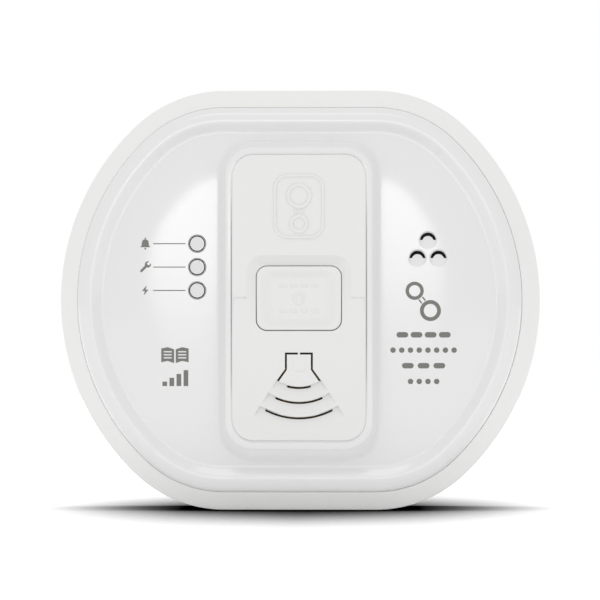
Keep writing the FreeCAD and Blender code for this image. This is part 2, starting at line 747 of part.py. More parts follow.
def add_panel_opening(body):
    """The opening that the centre panel drops into, with a ledge below it."""
    opening = rounded_rectangle(
        front_sketch(body, "panel_opening", "Sheet.panel_y - Sheet.cut_start"),
        ON_AXIS,
        "Sheet.panel_z",
        "Sheet.opening_width",
        "Sheet.opening_height",
        "Sheet.opening_radius",
    )
    pocket(body, opening, "Sheet.ledge_y - Sheet.panel_y + Sheet.cut_start")
    shaft = rounded_rectangle(
        front_sketch(body, "panel_shaft", "Sheet.panel_y - Sheet.cut_start"),
        ON_AXIS,
        "Sheet.panel_z",
        "Sheet.opening_width - 2 * Sheet.ledge_width",
        "Sheet.opening_height - 2 * Sheet.ledge_width",
        "Sheet.opening_radius - Sheet.ledge_width",
    )
    pocket(body, shaft, THROUGH)


def add_lip(body):
    """The lip that centres the front cover in the back cover."""
    ring = front_sketch(body, "lip_ring", "Sheet.parting_y")
    inset_outline(ring, "Sheet.lip_inset")
    inset_outline(ring, "Sheet.lip_inset + Sheet.lip_wall")
    pad(body, ring, "Sheet.lip_length", to_rear=True)


def add_front_bosses(body):
    """Four long bosses that reach the board and take the case screws."""
    bosses = front_sketch(body, "front_bosses", "Sheet.board_y")
    for x, z in corners("Sheet.screw_x", "Sheet.screw_z"):
        circle(bosses, x, z, "Sheet.boss_diameter")
    pad(body, bosses, "Sheet.board_y - Sheet.inside_y + Sheet.fuse_depth")
    pilots = front_sketch(body, "pilot_holes", "Sheet.board_y - Sheet.pilot_depth")
    for x, z in corners("Sheet.screw_x", "Sheet.screw_z"):
        circle(pilots, x, z, "Sheet.screw_shank")
    pocket(body, pilots, "Sheet.pilot_depth + Sheet.cut_start")


def add_light_holes(body):
    """Three holes for the ends of the light rods, in an even row."""
    sketch = front_sketch(body, "light_hole", "Sheet.face_y - Sheet.cut_start")
    circle(sketch, "Sheet.light_x", "Sheet.light_z", "Sheet.light_hole")
    first = pocket(body, sketch, FACE_CUT)
    before = body.Shape.Volume
    row = body.newObject("PartDesign::LinearPattern", "light_holes")
    row.Originals = [first]
    row.Direction = (sketch, ["V_Axis"])
    row.Occurrences = 3
    bind(row, "Length", "2 * Sheet.light_pitch")
    body.Tip = row
    check_cut(body, row, before)


def gas_places():
    """Middles of the three gas inlets, at the corners of a triangle that stands on its base."""
    return [
        (
            f"Sheet.gas_x + Sheet.gas_circle * cos({angle} * 1deg)",
            f"Sheet.gas_z + Sheet.gas_circle * sin({angle} * 1deg)",
        )
        for angle in (90, 210, 330)
    ]


def add_gas_inlets(body):
    """Each inlet is a round dimple whose floor climbs from its top to its bottom, with a crescent slot."""
    for number, (x, z) in enumerate(gas_places(), start=1):
        floor = front_sketch(body, f"gas_dimple_{number}", "Sheet.face_y + Sheet.gas_depth / 2", x, z)
        slope = math.degrees(math.atan(value("Sheet.gas_depth") / value("Sheet.gas_diameter")))
        floor.AttachmentOffset = Placement(floor.AttachmentOffset.Base, Rotation(Vector(1, 0, 0), slope))
        circle(floor, ON_AXIS, ON_AXIS, "Sheet.gas_diameter")
        before = body.Shape.Volume
        dimple = added(body, "Pocket", floor, f"gas_dimple_{number}_cut")
        dimple.UseCustomVector = True
        dimple.Direction = Vector(0, -1, 0)
        bind(dimple, "Length", "3 * Sheet.gas_depth")
        check_cut(body, dimple, before)
        add_crescent(body, number, x, z)


def add_crescent(body, number, x, z):
    """A slot that follows the upper half of a dimple's wall, right through the cover."""
    sketch = front_sketch(body, f"gas_crescent_{number}", "Sheet.face_y - Sheet.cut_start", x, z)
    outer = value("Sheet.gas_diameter") / 2
    inner = outer - value("Sheet.gas_slot")
    edges = sketch.addGeometry(
        [
            arc(0, 0, outer, 0, math.pi),
            line((-outer, 0), (-inner, 0)),
            arc(0, 0, inner, 0, math.pi),
            line((inner, 0), (outer, 0)),
        ],
        False,
    )
    big, left, small, right = list(edges)
    joints = ((big, 2, left, 1), (left, 2, small, 2), (small, 1, right, 1), (right, 2, big, 1))
    for here, end, there, start in joints:
        sketch.addConstraint(Sketcher.Constraint("Coincident", here, end, there, start))
    pin(sketch, big, 3, ON_AXIS, ON_AXIS)
    pin(sketch, small, 3, ON_AXIS, ON_AXIS)
    sketch.addConstraint(Sketcher.Constraint("PointOnObject", big, 1, -1))
    sketch.addConstraint(Sketcher.Constraint("PointOnObject", big, 2, -1))
    sketch.addConstraint(Sketcher.Constraint("PointOnObject", small, 1, -1))
    sketch.addConstraint(Sketcher.Constraint("PointOnObject", small, 2, -1))
    constrain(sketch, "Radius", big, expression="Sheet.gas_diameter / 2")
    constrain(sketch, "Radius", small, expression="Sheet.gas_diameter / 2 - Sheet.gas_slot")
    pocket(body, sketch, FACE_CUT)


# Centre panel


def make_centre_panel():
    body = new_body("centre_panel")
    plate = rounded_rectangle(
        front_sketch(body, "panel_plate", "Sheet.ledge_y"),
        ON_AXIS,
        "Sheet.panel_z",
        "Sheet.opening_width - 2 * Sheet.panel_gap",
        "Sheet.opening_height - 2 * Sheet.panel_gap",
        "Sheet.opening_radius - Sheet.panel_gap",
    )
    pad(body, plate, "Sheet.ledge_y - Sheet.panel_y + Sheet.fuse_depth")
    trim_to_arch(body, "panel_front")
    add_button_recess(body)
    add_side_notches(body)
    hole = rounded_rectangle(
        front_sketch(body, "button_hole", "Sheet.panel_y - Sheet.cut_start"),
        ON_AXIS,
        "Sheet.button_z",
        "Sheet.button_hole_width",
        "Sheet.button_hole_height",
        "Sheet.button_hole_radius",
    )
    pocket(body, hole, PANEL_CUT)
    add_sounder_grille(body)
    add_snap_legs(body)
    return body


def ramp_cut(body, name, x, top, foot, depth, width):
    """A cut that is deepest at its sharp top edge and climbs to the surface at its foot."""
    front = "Sheet.panel_y"
    sketch = side_sketch(body, name, x)
    upper, lower = f"Sheet.button_z + {top}", f"Sheet.button_z - {foot}"
    beyond = f"{lower} - ({OVERSHOOT} - 1) * ({top} + {foot})"
    polygon(
        sketch,
        [
            (f"{front} - Sheet.cut_start", upper),
            (f"{front} + {depth}", upper),
            (f"{arch_y(lower)} - ({OVERSHOOT} - 1) * {depth}", beyond),
            (f"{front} - Sheet.cut_start", beyond),
        ],
    )
    return pocket(body, sketch, width, both_ways=True)


def add_button_recess(body):
    """The ramped recess round the button, with rounded upper corners."""
    recess = ramp_cut(
        body,
        "button_recess",
        ON_AXIS,
        "Sheet.recess_top",
        "Sheet.recess_foot",
        "Sheet.recess_depth",
        "Sheet.recess_width",
    )
    top = value("Sheet.button_z + Sheet.recess_top")
    half = value("Sheet.recess_width") / 2
    names = edges_where(
        recess,
        lambda edge: runs_along(edge, "Y")
        and abs(edge.CenterOfMass.z - top) < 0.05
        and abs(abs(edge.CenterOfMass.x) - half) < 0.05,
    )
    fillet(body, recess, names, "Sheet.recess_radius")


def add_side_notches(body):
    """A small ramped notch on each side of the recess."""
    notch = ramp_cut(
        body,
        "side_notch",
        "(Sheet.recess_width + Sheet.notch_width) / 2 - Sheet.notch_overlap",
        "Sheet.notch_top",
        "Sheet.notch_foot",
        "Sheet.notch_depth",
        "Sheet.notch_width + 2 * Sheet.notch_overlap",
    )
    mirror(body, notch)


def add_sounder_grille(body):
    """The horn-shaped grille: three ramped arc slots below a neck of straight and flaring slots."""
    for number in (1, 2, 3):
        radius = f"Sheet.arc_radius_{number}"
        near, far = minus(radius), minus(f"{radius} + {OVERSHOOT} * Sheet.arc_ramp")
        face = arch_y(f"Sheet.horn_z - {radius}")
        far_face = arch_y(f"Sheet.horn_z - {radius} - Sheet.arc_ramp")
        ramp = side_sketch(body, f"arc_ramp_{number}", z="Sheet.horn_z")
        polygon(
            ramp,
            [
                ("Sheet.panel_y - Sheet.cut_start", near),
                (f"{face} + Sheet.arc_depth", near),
                (f"{far_face} - ({OVERSHOOT} - 1) * Sheet.arc_depth", far),
                ("Sheet.panel_y - Sheet.cut_start", far),
            ],
        )
        turned_cut(body, ramp, "Sheet.arc_sector")
        slot = side_sketch(body, f"arc_slot_{number}", z="Sheet.horn_z")
        slot_far = minus(f"{radius} + Sheet.arc_slot")
        polygon(
            slot,
            [
                ("Sheet.panel_y - Sheet.cut_start", near),
                ("Sheet.ledge_y + Sheet.cut_start", near),
                ("Sheet.ledge_y + Sheet.cut_start", slot_far),
                ("Sheet.panel_y - Sheet.cut_start", slot_far),
            ],
        )
        turned_cut(body, slot, f"Sheet.arc_slot_angle_{number}")
    add_neck_slots(body)


def add_neck_slots(body):
    """The neck of the horn: a bar at the top, straight sides and flaring feet, as two bent slots."""
    half_slot = "Sheet.arc_slot / 2"
    sketch = front_sketch(body, "neck_slot", "Sheet.panel_y - Sheet.cut_start")
    polygon(
        sketch,
        [
            ("Sheet.neck_bridge", f"Sheet.neck_top_z + {half_slot}"),
            (f"Sheet.neck_half + {half_slot}", f"Sheet.neck_top_z + {half_slot}"),
            (f"Sheet.neck_half + {half_slot}", "Sheet.neck_foot_z + Sheet.neck_mitre"),
            (f"Sheet.flare_half + {half_slot}", "Sheet.flare_foot_z + Sheet.flare_mitre"),
            (f"Sheet.flare_half - {half_slot}", "Sheet.flare_foot_z - Sheet.flare_mitre"),
            (f"Sheet.neck_half - {half_slot}", "Sheet.neck_foot_z - Sheet.neck_mitre"),
            (f"Sheet.neck_half - {half_slot}", f"Sheet.neck_top_z - {half_slot}"),
            ("Sheet.neck_bridge", f"Sheet.neck_top_z - {half_slot}"),
        ],
    )
    mirror(body, pocket(body, sketch, PANEL_CUT))


def add_snap_legs(body):
    """Four legs with barbs that catch behind the front cover's inner face."""
    outer = "(Sheet.opening_width / 2 - Sheet.ledge_width - Sheet.leg_play)"
    inner = f"{outer} - Sheet.leg_thickness"
    root = "Sheet.ledge_y - Sheet.fuse_depth"
    catch = "Sheet.inside_y + Sheet.leg_play"
    for name, sign in (("low", "-"), ("high", "+")):
        z = f"Sheet.panel_z {sign} Sheet.leg_spacing"
        leg = flat_sketch(body, f"snap_leg_{name}", z=z)
        polygon(
            leg,
            [
                (inner, root),
                (outer, root),
                (outer, catch),
                (f"{outer} + Sheet.leg_barb", catch),
                (f"{outer} - Sheet.leg_play", f"{catch} + Sheet.leg_thickness"),
                (inner, f"{catch} + Sheet.leg_thickness"),
            ],
        )
        mirror(body, pad(body, leg, "Sheet.leg_width", both_ways=True))


# Test button and its switch


def make_test_button():
    body = new_body("test_button")
    gap = "2 * Sheet.panel_gap"
    cap = rounded_rectangle(
        front_sketch(body, "button_cap", "Sheet.ledge_y + Sheet.button_skirt"),
        ON_AXIS,
        "Sheet.button_z",
        f"Sheet.button_hole_width - {gap}",
        f"Sheet.button_hole_height - {gap}",
        "Sheet.button_hole_radius - Sheet.panel_gap",
    )
    block_pad = pad(body, cap, "Sheet.ledge_y + Sheet.button_skirt - Sheet.button_face_y")
    round_at(body, block_pad, "Y", "Sheet.button_face_y", "Sheet.button_edge")
    dish = side_sketch(body, "button_dish")
    floor = "Sheet.button_face_y + Sheet.button_dish"
    polygon(
        dish,
        [
            ("Sheet.button_face_y - Sheet.cut_start", "Sheet.button_z - Sheet.dish_edge"),
            ("Sheet.button_face_y", "Sheet.button_z - Sheet.dish_edge"),
            (floor, "Sheet.button_z - Sheet.dish_flat"),
            (floor, "Sheet.button_z + Sheet.dish_flat"),
            ("Sheet.button_face_y", "Sheet.button_z + Sheet.dish_edge"),
            ("Sheet.button_face_y - Sheet.cut_start", "Sheet.button_z + Sheet.dish_edge"),
        ],
    )
    pocket(body, dish, THROUGH, both_ways=True)
    flange = rounded_rectangle(
        front_sketch(body, "button_flange", "Sheet.ledge_y + Sheet.panel_gap + Sheet.flange_thickness"),
        ON_AXIS,
        "Sheet.button_z",
        "Sheet.button_hole_width + Sheet.flange_size",
        "Sheet.button_hole_height + Sheet.flange_size",
        "Sheet.button_hole_radius + Sheet.flange_size / 3",
    )
    pad(body, flange, "Sheet.flange_thickness")
    stem_y = "(Sheet.ledge_y + Sheet.cut_start)"
    stem_sketch = front_sketch(body, "button_stem", stem_y)
    stem = circle(stem_sketch, ON_AXIS, "Sheet.button_z", "Sheet.stem_diameter")
    pad(body, stem, f"{SWITCH_TIP_Y} - Sheet.tip_gap - {stem_y}", to_rear=True)
    return body



def make_test_switch():
    """A tactile switch on the board: a square can with a round plunger that goes in."""
    body = new_body("test_switch_body")
    can = rounded_rectangle(
        front_sketch(body, "switch_can", "Sheet.board_y"),
        ON_AXIS,
        "Sheet.button_z",
        "Sheet.switch_size",
        "Sheet.switch_size",
        "Sheet.slot_corner",
    )
    pad(body, can, "Sheet.switch_height")
    mouth = "Sheet.board_y - Sheet.switch_height - Sheet.cut_start"
    bore_sketch = front_sketch(body, "switch_bore", mouth)
    bore = circle(bore_sketch, ON_AXIS, "Sheet.button_z", "Sheet.switch_bore")
    floor_gap = "(2 * Sheet.button_travel + Sheet.switch_play)"
    pocket(body, bore, f"Sheet.cut_start + Sheet.switch_height - Sheet.switch_foot + {floor_gap}")
    turned_body(
        "test_switch_plunger",
        ON_AXIS,
        "Sheet.button_z",
        [
            ("0", SWITCH_TIP_Y),
            ("1.4", SWITCH_TIP_Y),
            ("1.6", f"{SWITCH_TIP_Y} + 0.2"),
            ("1.6", "Sheet.board_y - Sheet.switch_foot"),
            ("0", "Sheet.board_y - Sheet.switch_foot"),
        ],
    )


# Mounting plate and power switch


def make_mounting_plate():
    body = new_body("mounting_plate")
    plate = case_outline(
        front_sketch(body, "plate_outline", "Sheet.wall_y"),
        "Sheet.plate_width / 2",
        "Sheet.plate_height / 2",
        "Sheet.plate_radius",
        "Sheet.plate_z",
    )
    pad(body, plate, "Sheet.wall_y - Sheet.plate_front_y")
    add_wall_screw_holes(body)
    add_hooks(body)
    add_plunger_ramp(body)
    return body


def add_wall_screw_holes(body):
    """Two countersunk holes on a level line."""
    for side, sign in (("left", -1), ("right", 1)):
        x = f"{sign} * Sheet.wall_screw_pitch / 2"
        profile = flat_sketch(body, f"screw_hole_{side}", x, ON_AXIS, "Sheet.plate_z")
        sink = "(Sheet.wall_screw_sink - Sheet.wall_screw_hole) / 2"
        polygon(
            profile,
            [
                ("0", "Sheet.plate_front_y - Sheet.cut_start"),
                ("Sheet.wall_screw_sink / 2", "Sheet.plate_front_y - Sheet.cut_start"),
                ("Sheet.wall_screw_sink / 2", "Sheet.plate_front_y"),
                ("Sheet.wall_screw_hole / 2", f"Sheet.plate_front_y + {sink} * 0.6"),
                ("Sheet.wall_screw_hole / 2", "Sheet.wall_y + Sheet.cut_start"),
                ("0", "Sheet.wall_y + Sheet.cut_start"),
            ],
        )
        turned_cut(body, profile, 360, axis="V_Axis")


def add_hooks(body):
    """Four hooks: a neck through the case's rear wall, and a lip that reaches up behind it."""
    lip_y = "Sheet.floor_y - Sheet.hook_clearance"
    for name, foot in (("low", "Sheet.hook_low_z"), ("high", "Sheet.hook_high_z")):
        hook = side_sketch(body, f"hook_{name}", x="Sheet.hook_x")
        head = f"{foot} + Sheet.hook_neck"
        polygon(
            hook,
            [
                ("Sheet.plate_front_y + Sheet.fuse_depth", foot),
                ("Sheet.plate_front_y + Sheet.fuse_depth", head),
                (lip_y, head),
                (lip_y, f"{head} + Sheet.hook_lip"),
                (f"{lip_y} - Sheet.hook_chamfer", f"{head} + Sheet.hook_lip"),
                (f"{lip_y} - Sheet.hook_lip_depth", f"{head} + Sheet.hook_lip - Sheet.hook_chamfer"),
                (f"{lip_y} - Sheet.hook_lip_depth", foot),
            ],
        )
        mirror(body, pad(body, hook, "Sheet.hook_width", both_ways=True))


def add_plunger_ramp(body):
    """A groove that gets deeper upwards, so the plunger comes out as the plate slides down."""
    groove = side_sketch(body, "plunger_ramp", x="Sheet.switch_x")
    floor = "Sheet.plate_front_y + Sheet.plunger_travel"
    end = "Sheet.switch_z + Sheet.plate_travel"
    polygon(
        groove,
        [
            ("Sheet.plate_front_y - Sheet.cut_start", "Sheet.switch_z"),
            ("Sheet.plate_front_y", "Sheet.switch_z"),
            (floor, end),
            (floor, f"{end} + 3"),
            ("Sheet.plate_front_y - Sheet.cut_start", f"{end} + 3"),
        ],
    )
    pocket(body, groove, "Sheet.plunger_diameter + 1", both_ways=True)


def make_power_switch():
    """A switch on the rear of the board, and the plunger between it and the mounting plate."""
    body = new_body("power_switch_body")
    rear = "Sheet.board_y + Sheet.board_thickness"
    can = rounded_rectangle(
        front_sketch(body, "power_can", rear),
        "Sheet.switch_x",
        "Sheet.switch_z",
        "Sheet.power_size",
        "Sheet.power_size",
        "Sheet.slot_corner",
    )
    pad(body, can, "Sheet.power_height", to_rear=True)
    bore_sketch = front_sketch(body, "power_bore", f"{rear} + Sheet.power_height + Sheet.cut_start")
    bore = circle(bore_sketch, "Sheet.switch_x", "Sheet.switch_z", "Sheet.switch_bore")
    pocket(body, bore, "Sheet.power_height - Sheet.cut_start", to_front=True)
    tip = "Sheet.plate_front_y - Sheet.plunger_gap"
    radius = "Sheet.plunger_diameter / 2"
    turned_body(
        "power_plunger",
        "Sheet.switch_x",
        "Sheet.switch_z",
        [
            ("0", f"{rear} + 2.8"),
            ("1.5", f"{rear} + 2.8"),
            ("1.5", f"{rear} + 7"),
            ("3.2", f"{rear} + 7"),
            ("3.2", f"{rear} + 8"),
            (radius, f"{rear} + 8"),
            (radius, f"{tip} - ({radius} - Sheet.plunger_nose)"),
            ("Sheet.plunger_nose", tip),
            ("0", tip),
        ],
    )


# Circuit board and what it carries


def make_circuit_board():
    body = new_body("circuit_board")
    board = rounded_rectangle(
        front_sketch(body, "board_outline", "Sheet.board_y + Sheet.board_thickness"),
        ON_AXIS,
        MIDDLE_Z,
        "Sheet.board_width",
        "Sheet.board_height",
        "Sheet.board_corner",
    )
    pad(body, board, "Sheet.board_thickness")
    holes = front_sketch(body, "board_holes", "Sheet.board_y - Sheet.cut_start")
    for x, z in corners("Sheet.screw_x", "Sheet.screw_z"):
        circle(holes, x, z, "Sheet.screw_shank + Sheet.screw_play")
    pocket(body, holes, "Sheet.board_thickness + 2 * Sheet.cut_start")
    return body


def make_lights():
    """Three light-emitting diodes on the board, and one clear moulding that carries their light forward."""
    names = ("alarm_led", "fault_led", "power_led")
    places = [f"Sheet.light_z + {step} * Sheet.light_pitch" for step in (2, 1, 0)]
    for name, z in zip(names, places):
        turned_body(
            name,
            "Sheet.light_x",
            z,
            [
                ("0", "Sheet.board_y - Sheet.led_height"),
                ("0.9", "Sheet.board_y - Sheet.led_height + 0.2"),
                ("1.5", "Sheet.board_y - 3.6"),
                ("1.5", "Sheet.board_y - 1"),
                ("1.75", "Sheet.board_y - 1"),
                ("1.75", "Sheet.board_y"),
                ("0", "Sheet.board_y"),
            ],
        )
    body = new_body("light_pipe")
    rods = front_sketch(body, "light_rods", "Sheet.board_y - Sheet.led_height - Sheet.rod_gap")
    for z in places:
        circle(rods, "Sheet.light_x", z, "Sheet.light_rod")
    bar = rounded_rectangle(
        front_sketch(body, "light_bar", "Sheet.inside_y + Sheet.bar_gap + Sheet.bar_depth"),
        "Sheet.light_x",
        places[1],
        "Sheet.bar_width",
        "2 * Sheet.light_pitch + Sheet.bar_width",
        "Sheet.bar_depth",
    )
    pad(body, bar, "Sheet.bar_depth")
    rod_length = "Sheet.board_y - Sheet.led_height - Sheet.rod_gap - Sheet.face_y"
    pad(body, rods, f"{rod_length} - Sheet.tip_gap")


def make_gas_sensor():
    """The electrochemical cell, its cap with the gas hole, its seal, its pins and the dust screen."""
    x, z = "Sheet.gas_x", "Sheet.gas_z"
    radius = "Sheet.sensor_diameter / 2"
    base = "Sheet.board_y - 1"
    turned_body(
        "co_sensor_can",
        x,
        z,
        [
            ("0", "Sheet.inside_y + 4.5"),
            (f"{radius} - 0.4", "Sheet.inside_y + 4.5"),
            (f"{radius} - 0.4", "Sheet.inside_y + 5.6"),
            (radius, "Sheet.inside_y + 5.8"),
            (radius, f"{base} - 2.4"),
            (f"{radius} - 0.5", f"{base} - 2"),
            (f"{radius} - 0.5", f"{base} - 1.4"),
            (radius, f"{base} - 1"),
            (radius, base),
            ("0", base),
        ],
    )
    turned_body(
        "co_sensor_cap",
        x,
        z,
        [
            ("1", "Sheet.inside_y + 2.4"),
            (f"{radius} - 1.2", "Sheet.inside_y + 2.4"),
            (f"{radius} - 0.8", "Sheet.inside_y + 2.8"),
            (f"{radius} - 0.8", "Sheet.inside_y + 4.5"),
            ("1", "Sheet.inside_y + 4.5"),
        ],
    )
    turned_body(
        "sensor_gasket",
        x,
        z,
        [
            ("6", "Sheet.inside_y + 0.3"),
            (f"{radius} - 1.2", "Sheet.inside_y + 0.3"),
            (f"{radius} - 1.2", "Sheet.inside_y + 2.4"),
            ("6", "Sheet.inside_y + 2.4"),
        ],
    )
    screen = cylinder("dust_screen", x, "Sheet.inside_y", z, "2 * (Sheet.sensor_diameter / 2 - 1.2)", "0.3")
    kept(screen, "dust_screen")
    pins = [
        cylinder(
            f"sensor_pin_{number}",
            f"{x} + Sheet.pin_circle * cos({angle} * 1deg)",
            base,
            f"{z} + Sheet.pin_circle * sin({angle} * 1deg)",
            "Sheet.pin_diameter",
            "1 + Sheet.board_thickness + Sheet.cut_start",
        )
        for number, angle in enumerate((90, 210, 330), start=1)
    ]
    holes = [
        cylinder(
            f"board_pin_hole_{number}",
            f"{x} + Sheet.pin_circle * cos({angle} * 1deg)",
            "Sheet.board_y - Sheet.fuse_depth",
            f"{z} + Sheet.pin_circle * sin({angle} * 1deg)",
            "Sheet.pin_diameter + 2 * Sheet.tip_gap",
            "Sheet.board_thickness + 2 * Sheet.fuse_depth",
        )
        for number, angle in enumerate((90, 210, 330), start=1)
    ]
    group("sensor_pins", pins)
    return holes


def make_sounder():
    """The sounder: a horn whose chamber holds the piezo disc, and two pins to the board."""
    z = "Sheet.sounder_z"
    outer = "Sheet.sounder_diameter / 2"
    turned_body(
        "sounder_horn",
        ON_AXIS,
        z,
        [
            ("8.5", "Sheet.ledge_y + 0.5"),
            ("9.8", "Sheet.ledge_y + 0.5"),
            ("9.8", "Sheet.inside_y + 1.8"),
            (outer, "Sheet.inside_y + 2.6"),
            (outer, "Sheet.inside_y + 10.4"),
            (f"{outer} - 1.2", "Sheet.inside_y + 10.4"),
            (f"{outer} - 1.2", "Sheet.inside_y + 9"),
            (f"{outer} - 2.4", "Sheet.inside_y + 9"),
            (f"{outer} - 2.4", "Sheet.inside_y + 4.4"),
            ("8.5", "Sheet.inside_y + 3.4"),
        ],
    )
    disc = cylinder("piezo_disc", ON_AXIS, "Sheet.inside_y + 9", z, "Sheet.sounder_diameter - 2.6", "0.3")
    kept(disc, "piezo_disc")
    ceramic = cylinder("piezo_ceramic", ON_AXIS, "Sheet.inside_y + 9.3", z, "19", "0.25")
    kept(ceramic, "piezo_ceramic")
    tall = "Sheet.board_y - Sheet.inside_y"
    on_ceramic = cylinder("contact_1", "-4", "Sheet.inside_y + 9.55", z, "1", f"{tall} - 9.55")
    on_disc = cylinder("contact_2", "12", "Sheet.inside_y + 9.3", z, "1", f"{tall} - 9.3")
    group("sounder_contacts", [on_ceramic, on_disc])


def make_battery():
    """A sealed lithium cell that lies across the top, with a welded tab at each end."""
    body = new_body("battery_cell")
    sketch = flat_sketch(body, "cell_profile", ON_AXIS, "Sheet.battery_y", "Sheet.battery_z")
    half, radius = "Sheet.battery_length / 2", "Sheet.battery_diameter / 2"
    polygon(
        sketch,
        [
            (f"-{half}", "0"),
            (f"-{half}", f"{radius} - 0.8"),
            (f"-{half} + 0.8", radius),
            (f"{half} - 2.4", radius),
            (f"{half} - 1.6", f"{radius} - 0.8"),
            (f"{half} - 1.2", f"{radius} - 1.4"),
            (f"{half} - 1.2", "3"),
            (half, "3"),
            (half, "0"),
        ],
    )
    turn(body, sketch, axis="H_Axis")
    reach = "Sheet.board_y - Sheet.battery_y + 2.5"
    tabs = []
    for number, x in ((1, f"-{half} - 0.15"), (2, f"{half} + 0.15")):
        tabs.append(
            block(f"battery_tab_{number}", x, "Sheet.battery_y - 2.5", "Sheet.battery_z", "0.3", reach, "4")
        )
    group("battery_tabs", tabs)


def make_board_parts():
    """The larger parts on the board, and one group of small ones."""
    controller = block(
        "controller_block", "16", "Sheet.board_y - 1.4", "46", "9", "1.4", "9"
    )
    kept(controller, "microcontroller")
    turned_body(
        "storage_capacitor",
        "-30",
        "38",
        [
            ("0", "Sheet.board_y - 12"),
            ("3.6", "Sheet.board_y - 12"),
            ("4", "Sheet.board_y - 11.6"),
            ("4", "Sheet.board_y - 2.2"),
            ("3.6", "Sheet.board_y - 1.9"),
            ("4", "Sheet.board_y - 1.6"),
            ("4", "Sheet.board_y"),
            ("0", "Sheet.board_y"),
        ],
    )
    turned_body(
        "boost_coil",
        "26",
        "34",
        [
            ("0", "Sheet.board_y - 7"),
            ("4.5", "Sheet.board_y - 7"),
            ("4.5", "Sheet.board_y - 6"),
            ("3.4", "Sheet.board_y - 6"),
            ("3.4", "Sheet.board_y - 1"),
            ("4.5", "Sheet.board_y - 1"),
            ("4.5", "Sheet.board_y"),
            ("0", "Sheet.board_y"),
        ],
    )
    chips = []
    for row_number, z in enumerate((41.0, 45.0, 49.0, 66.0, 70.0)):
        for column in range(4):
            x = 6.0 + 1.6 * column if row_number > 2 else -20.0 + 3.4 * column
            name = f"chip_{row_number + 1}_{column + 1}"
            chips.append(block(name, x, "Sheet.board_y - 0.6", z, "1.2", "0.6", "2"))
    group("chip_components", chips)


def make_case_screws():
    """Four pan-head screws that clamp the back cover, the board and the front cover together."""
    screws = []
    seat = "Sheet.floor_rear_y - Sheet.seat_depth"
    for number, (x, z) in enumerate(corners("Sheet.screw_x", "Sheet.screw_z"), start=1):
        tip = "Sheet.board_y - 8"
        shank = cylinder(f"screw_shank_{number}", x, tip, z, "Sheet.screw_shank", f"{seat} - ({tip})")
        head = cylinder(f"screw_head_{number}", x, seat, z, "Sheet.screw_head", "1.9")
        screw = doc.addObject("Part::Fuse", f"screw_{number}")
        screw.Base, screw.Tool = shank, head
        screws.append(screw)
    group("case_screws", screws)


make_back_cover()
make_front_cover()
make_centre_panel()
make_test_button()
make_test_switch()
make_mounting_plate()
make_power_switch()
board = make_circuit_board()
make_lights()
pin_holes = make_gas_sensor()
make_sounder()
make_battery()
make_board_parts()
make_case_screws()

nodes.remove(board)
all_pin_holes = doc.addObject("Part::Compound", "board_pin_holes")
all_pin_holes.Links = pin_holes
board.Label = "board_blank"
cut("circuit_board_drilled", board, all_pin_holes).Label = "circuit_board"
doc.recompute()

for item in doc.Objects:
    if {"Invalid", "Error"} & set(item.State):
        raise RuntimeError(f"{item.Label} failed: {item.State}")
os.makedirs("parts", exist_ok=True)
for node in nodes:
    shape = node.Shape
    if shape.isNull() or not shape.isValid() or not shape.Solids:
        raise RuntimeError(f"{node.Label} has no valid solid")
    print(f"{node.Label}: {len(shape.Solids)} solid, {shape.Volume:.1f} mm3")
for node in nodes:
    node.Shape.exportStep(f"parts/{node.Label}.step")
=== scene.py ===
import math
import bmesh
import bpy
import numpy as np
from bpy.props import FloatProperty, FloatVectorProperty, PointerProperty
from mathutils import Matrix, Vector, geometry, kdtree


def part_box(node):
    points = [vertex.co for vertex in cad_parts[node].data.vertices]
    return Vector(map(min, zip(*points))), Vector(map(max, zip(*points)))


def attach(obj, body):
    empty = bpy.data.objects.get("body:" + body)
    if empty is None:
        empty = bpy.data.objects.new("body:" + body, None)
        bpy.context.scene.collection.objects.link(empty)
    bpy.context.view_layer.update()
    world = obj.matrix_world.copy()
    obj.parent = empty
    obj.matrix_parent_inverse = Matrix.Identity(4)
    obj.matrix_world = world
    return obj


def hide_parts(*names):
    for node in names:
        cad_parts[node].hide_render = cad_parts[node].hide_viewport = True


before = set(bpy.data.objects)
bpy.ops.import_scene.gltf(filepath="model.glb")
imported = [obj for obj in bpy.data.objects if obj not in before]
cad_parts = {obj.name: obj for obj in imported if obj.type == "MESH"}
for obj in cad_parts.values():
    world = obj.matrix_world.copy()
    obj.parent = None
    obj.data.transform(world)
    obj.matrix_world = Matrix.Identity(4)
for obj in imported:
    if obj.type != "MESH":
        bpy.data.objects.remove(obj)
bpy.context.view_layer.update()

bl_info = {
    "name": "Carbon Monoxide Detector",
    "version": (1, 0, 0),
    "blender": (4, 5, 0),
    "location": "3D View > Sidebar > Detector",
    "description": "Dresses the packed detector with its moulded covers, button, markings and studio",
    "category": "Object",
}

# Sizes are in millimetres in the part's frame: X right, Y from front to rear, Z up.
MM = 0.001
MIDDLE_Z = 52.5
# A raised or sunk edge is this wide, with a loop at its middle and at both ends
STEP_EDGE = 0.12
ACROSS_STEP = (0.06, 0.0, -0.06)

# Case outline: flats, corner arcs and side arcs, each as wide as the case allows
SIDE_RADIUS = 60.0
CORNER_RADIUS = 32.5
CORNER_X = 18.87
CORNER_RISE = 20.0
CORNER_TURN = math.atan2(CORNER_RISE, CORNER_X)

# Front cover
PARTING_INSET = 4.8
RIM_START_Y = -15.0
RIM_RADIUS = 3.4
CREST_INSET = PARTING_INSET + RIM_RADIUS
CREST_Y = RIM_START_Y - RIM_RADIUS
# Slope of the cover across the well, from the crest inwards: the rim's inner slope, then the domed face
WELL_INSETS = (CREST_INSET, 9.0, 10.4, 11.3, 18.0, 26.0, 60.0)
WELL_SLOPES = (0.0, 0.68, 0.68, -0.12, -0.085, 0.0, 0.0)

PANEL_Z = 52.9
PANEL_Y = -22.0
ARCH_RADIUS = 888.0
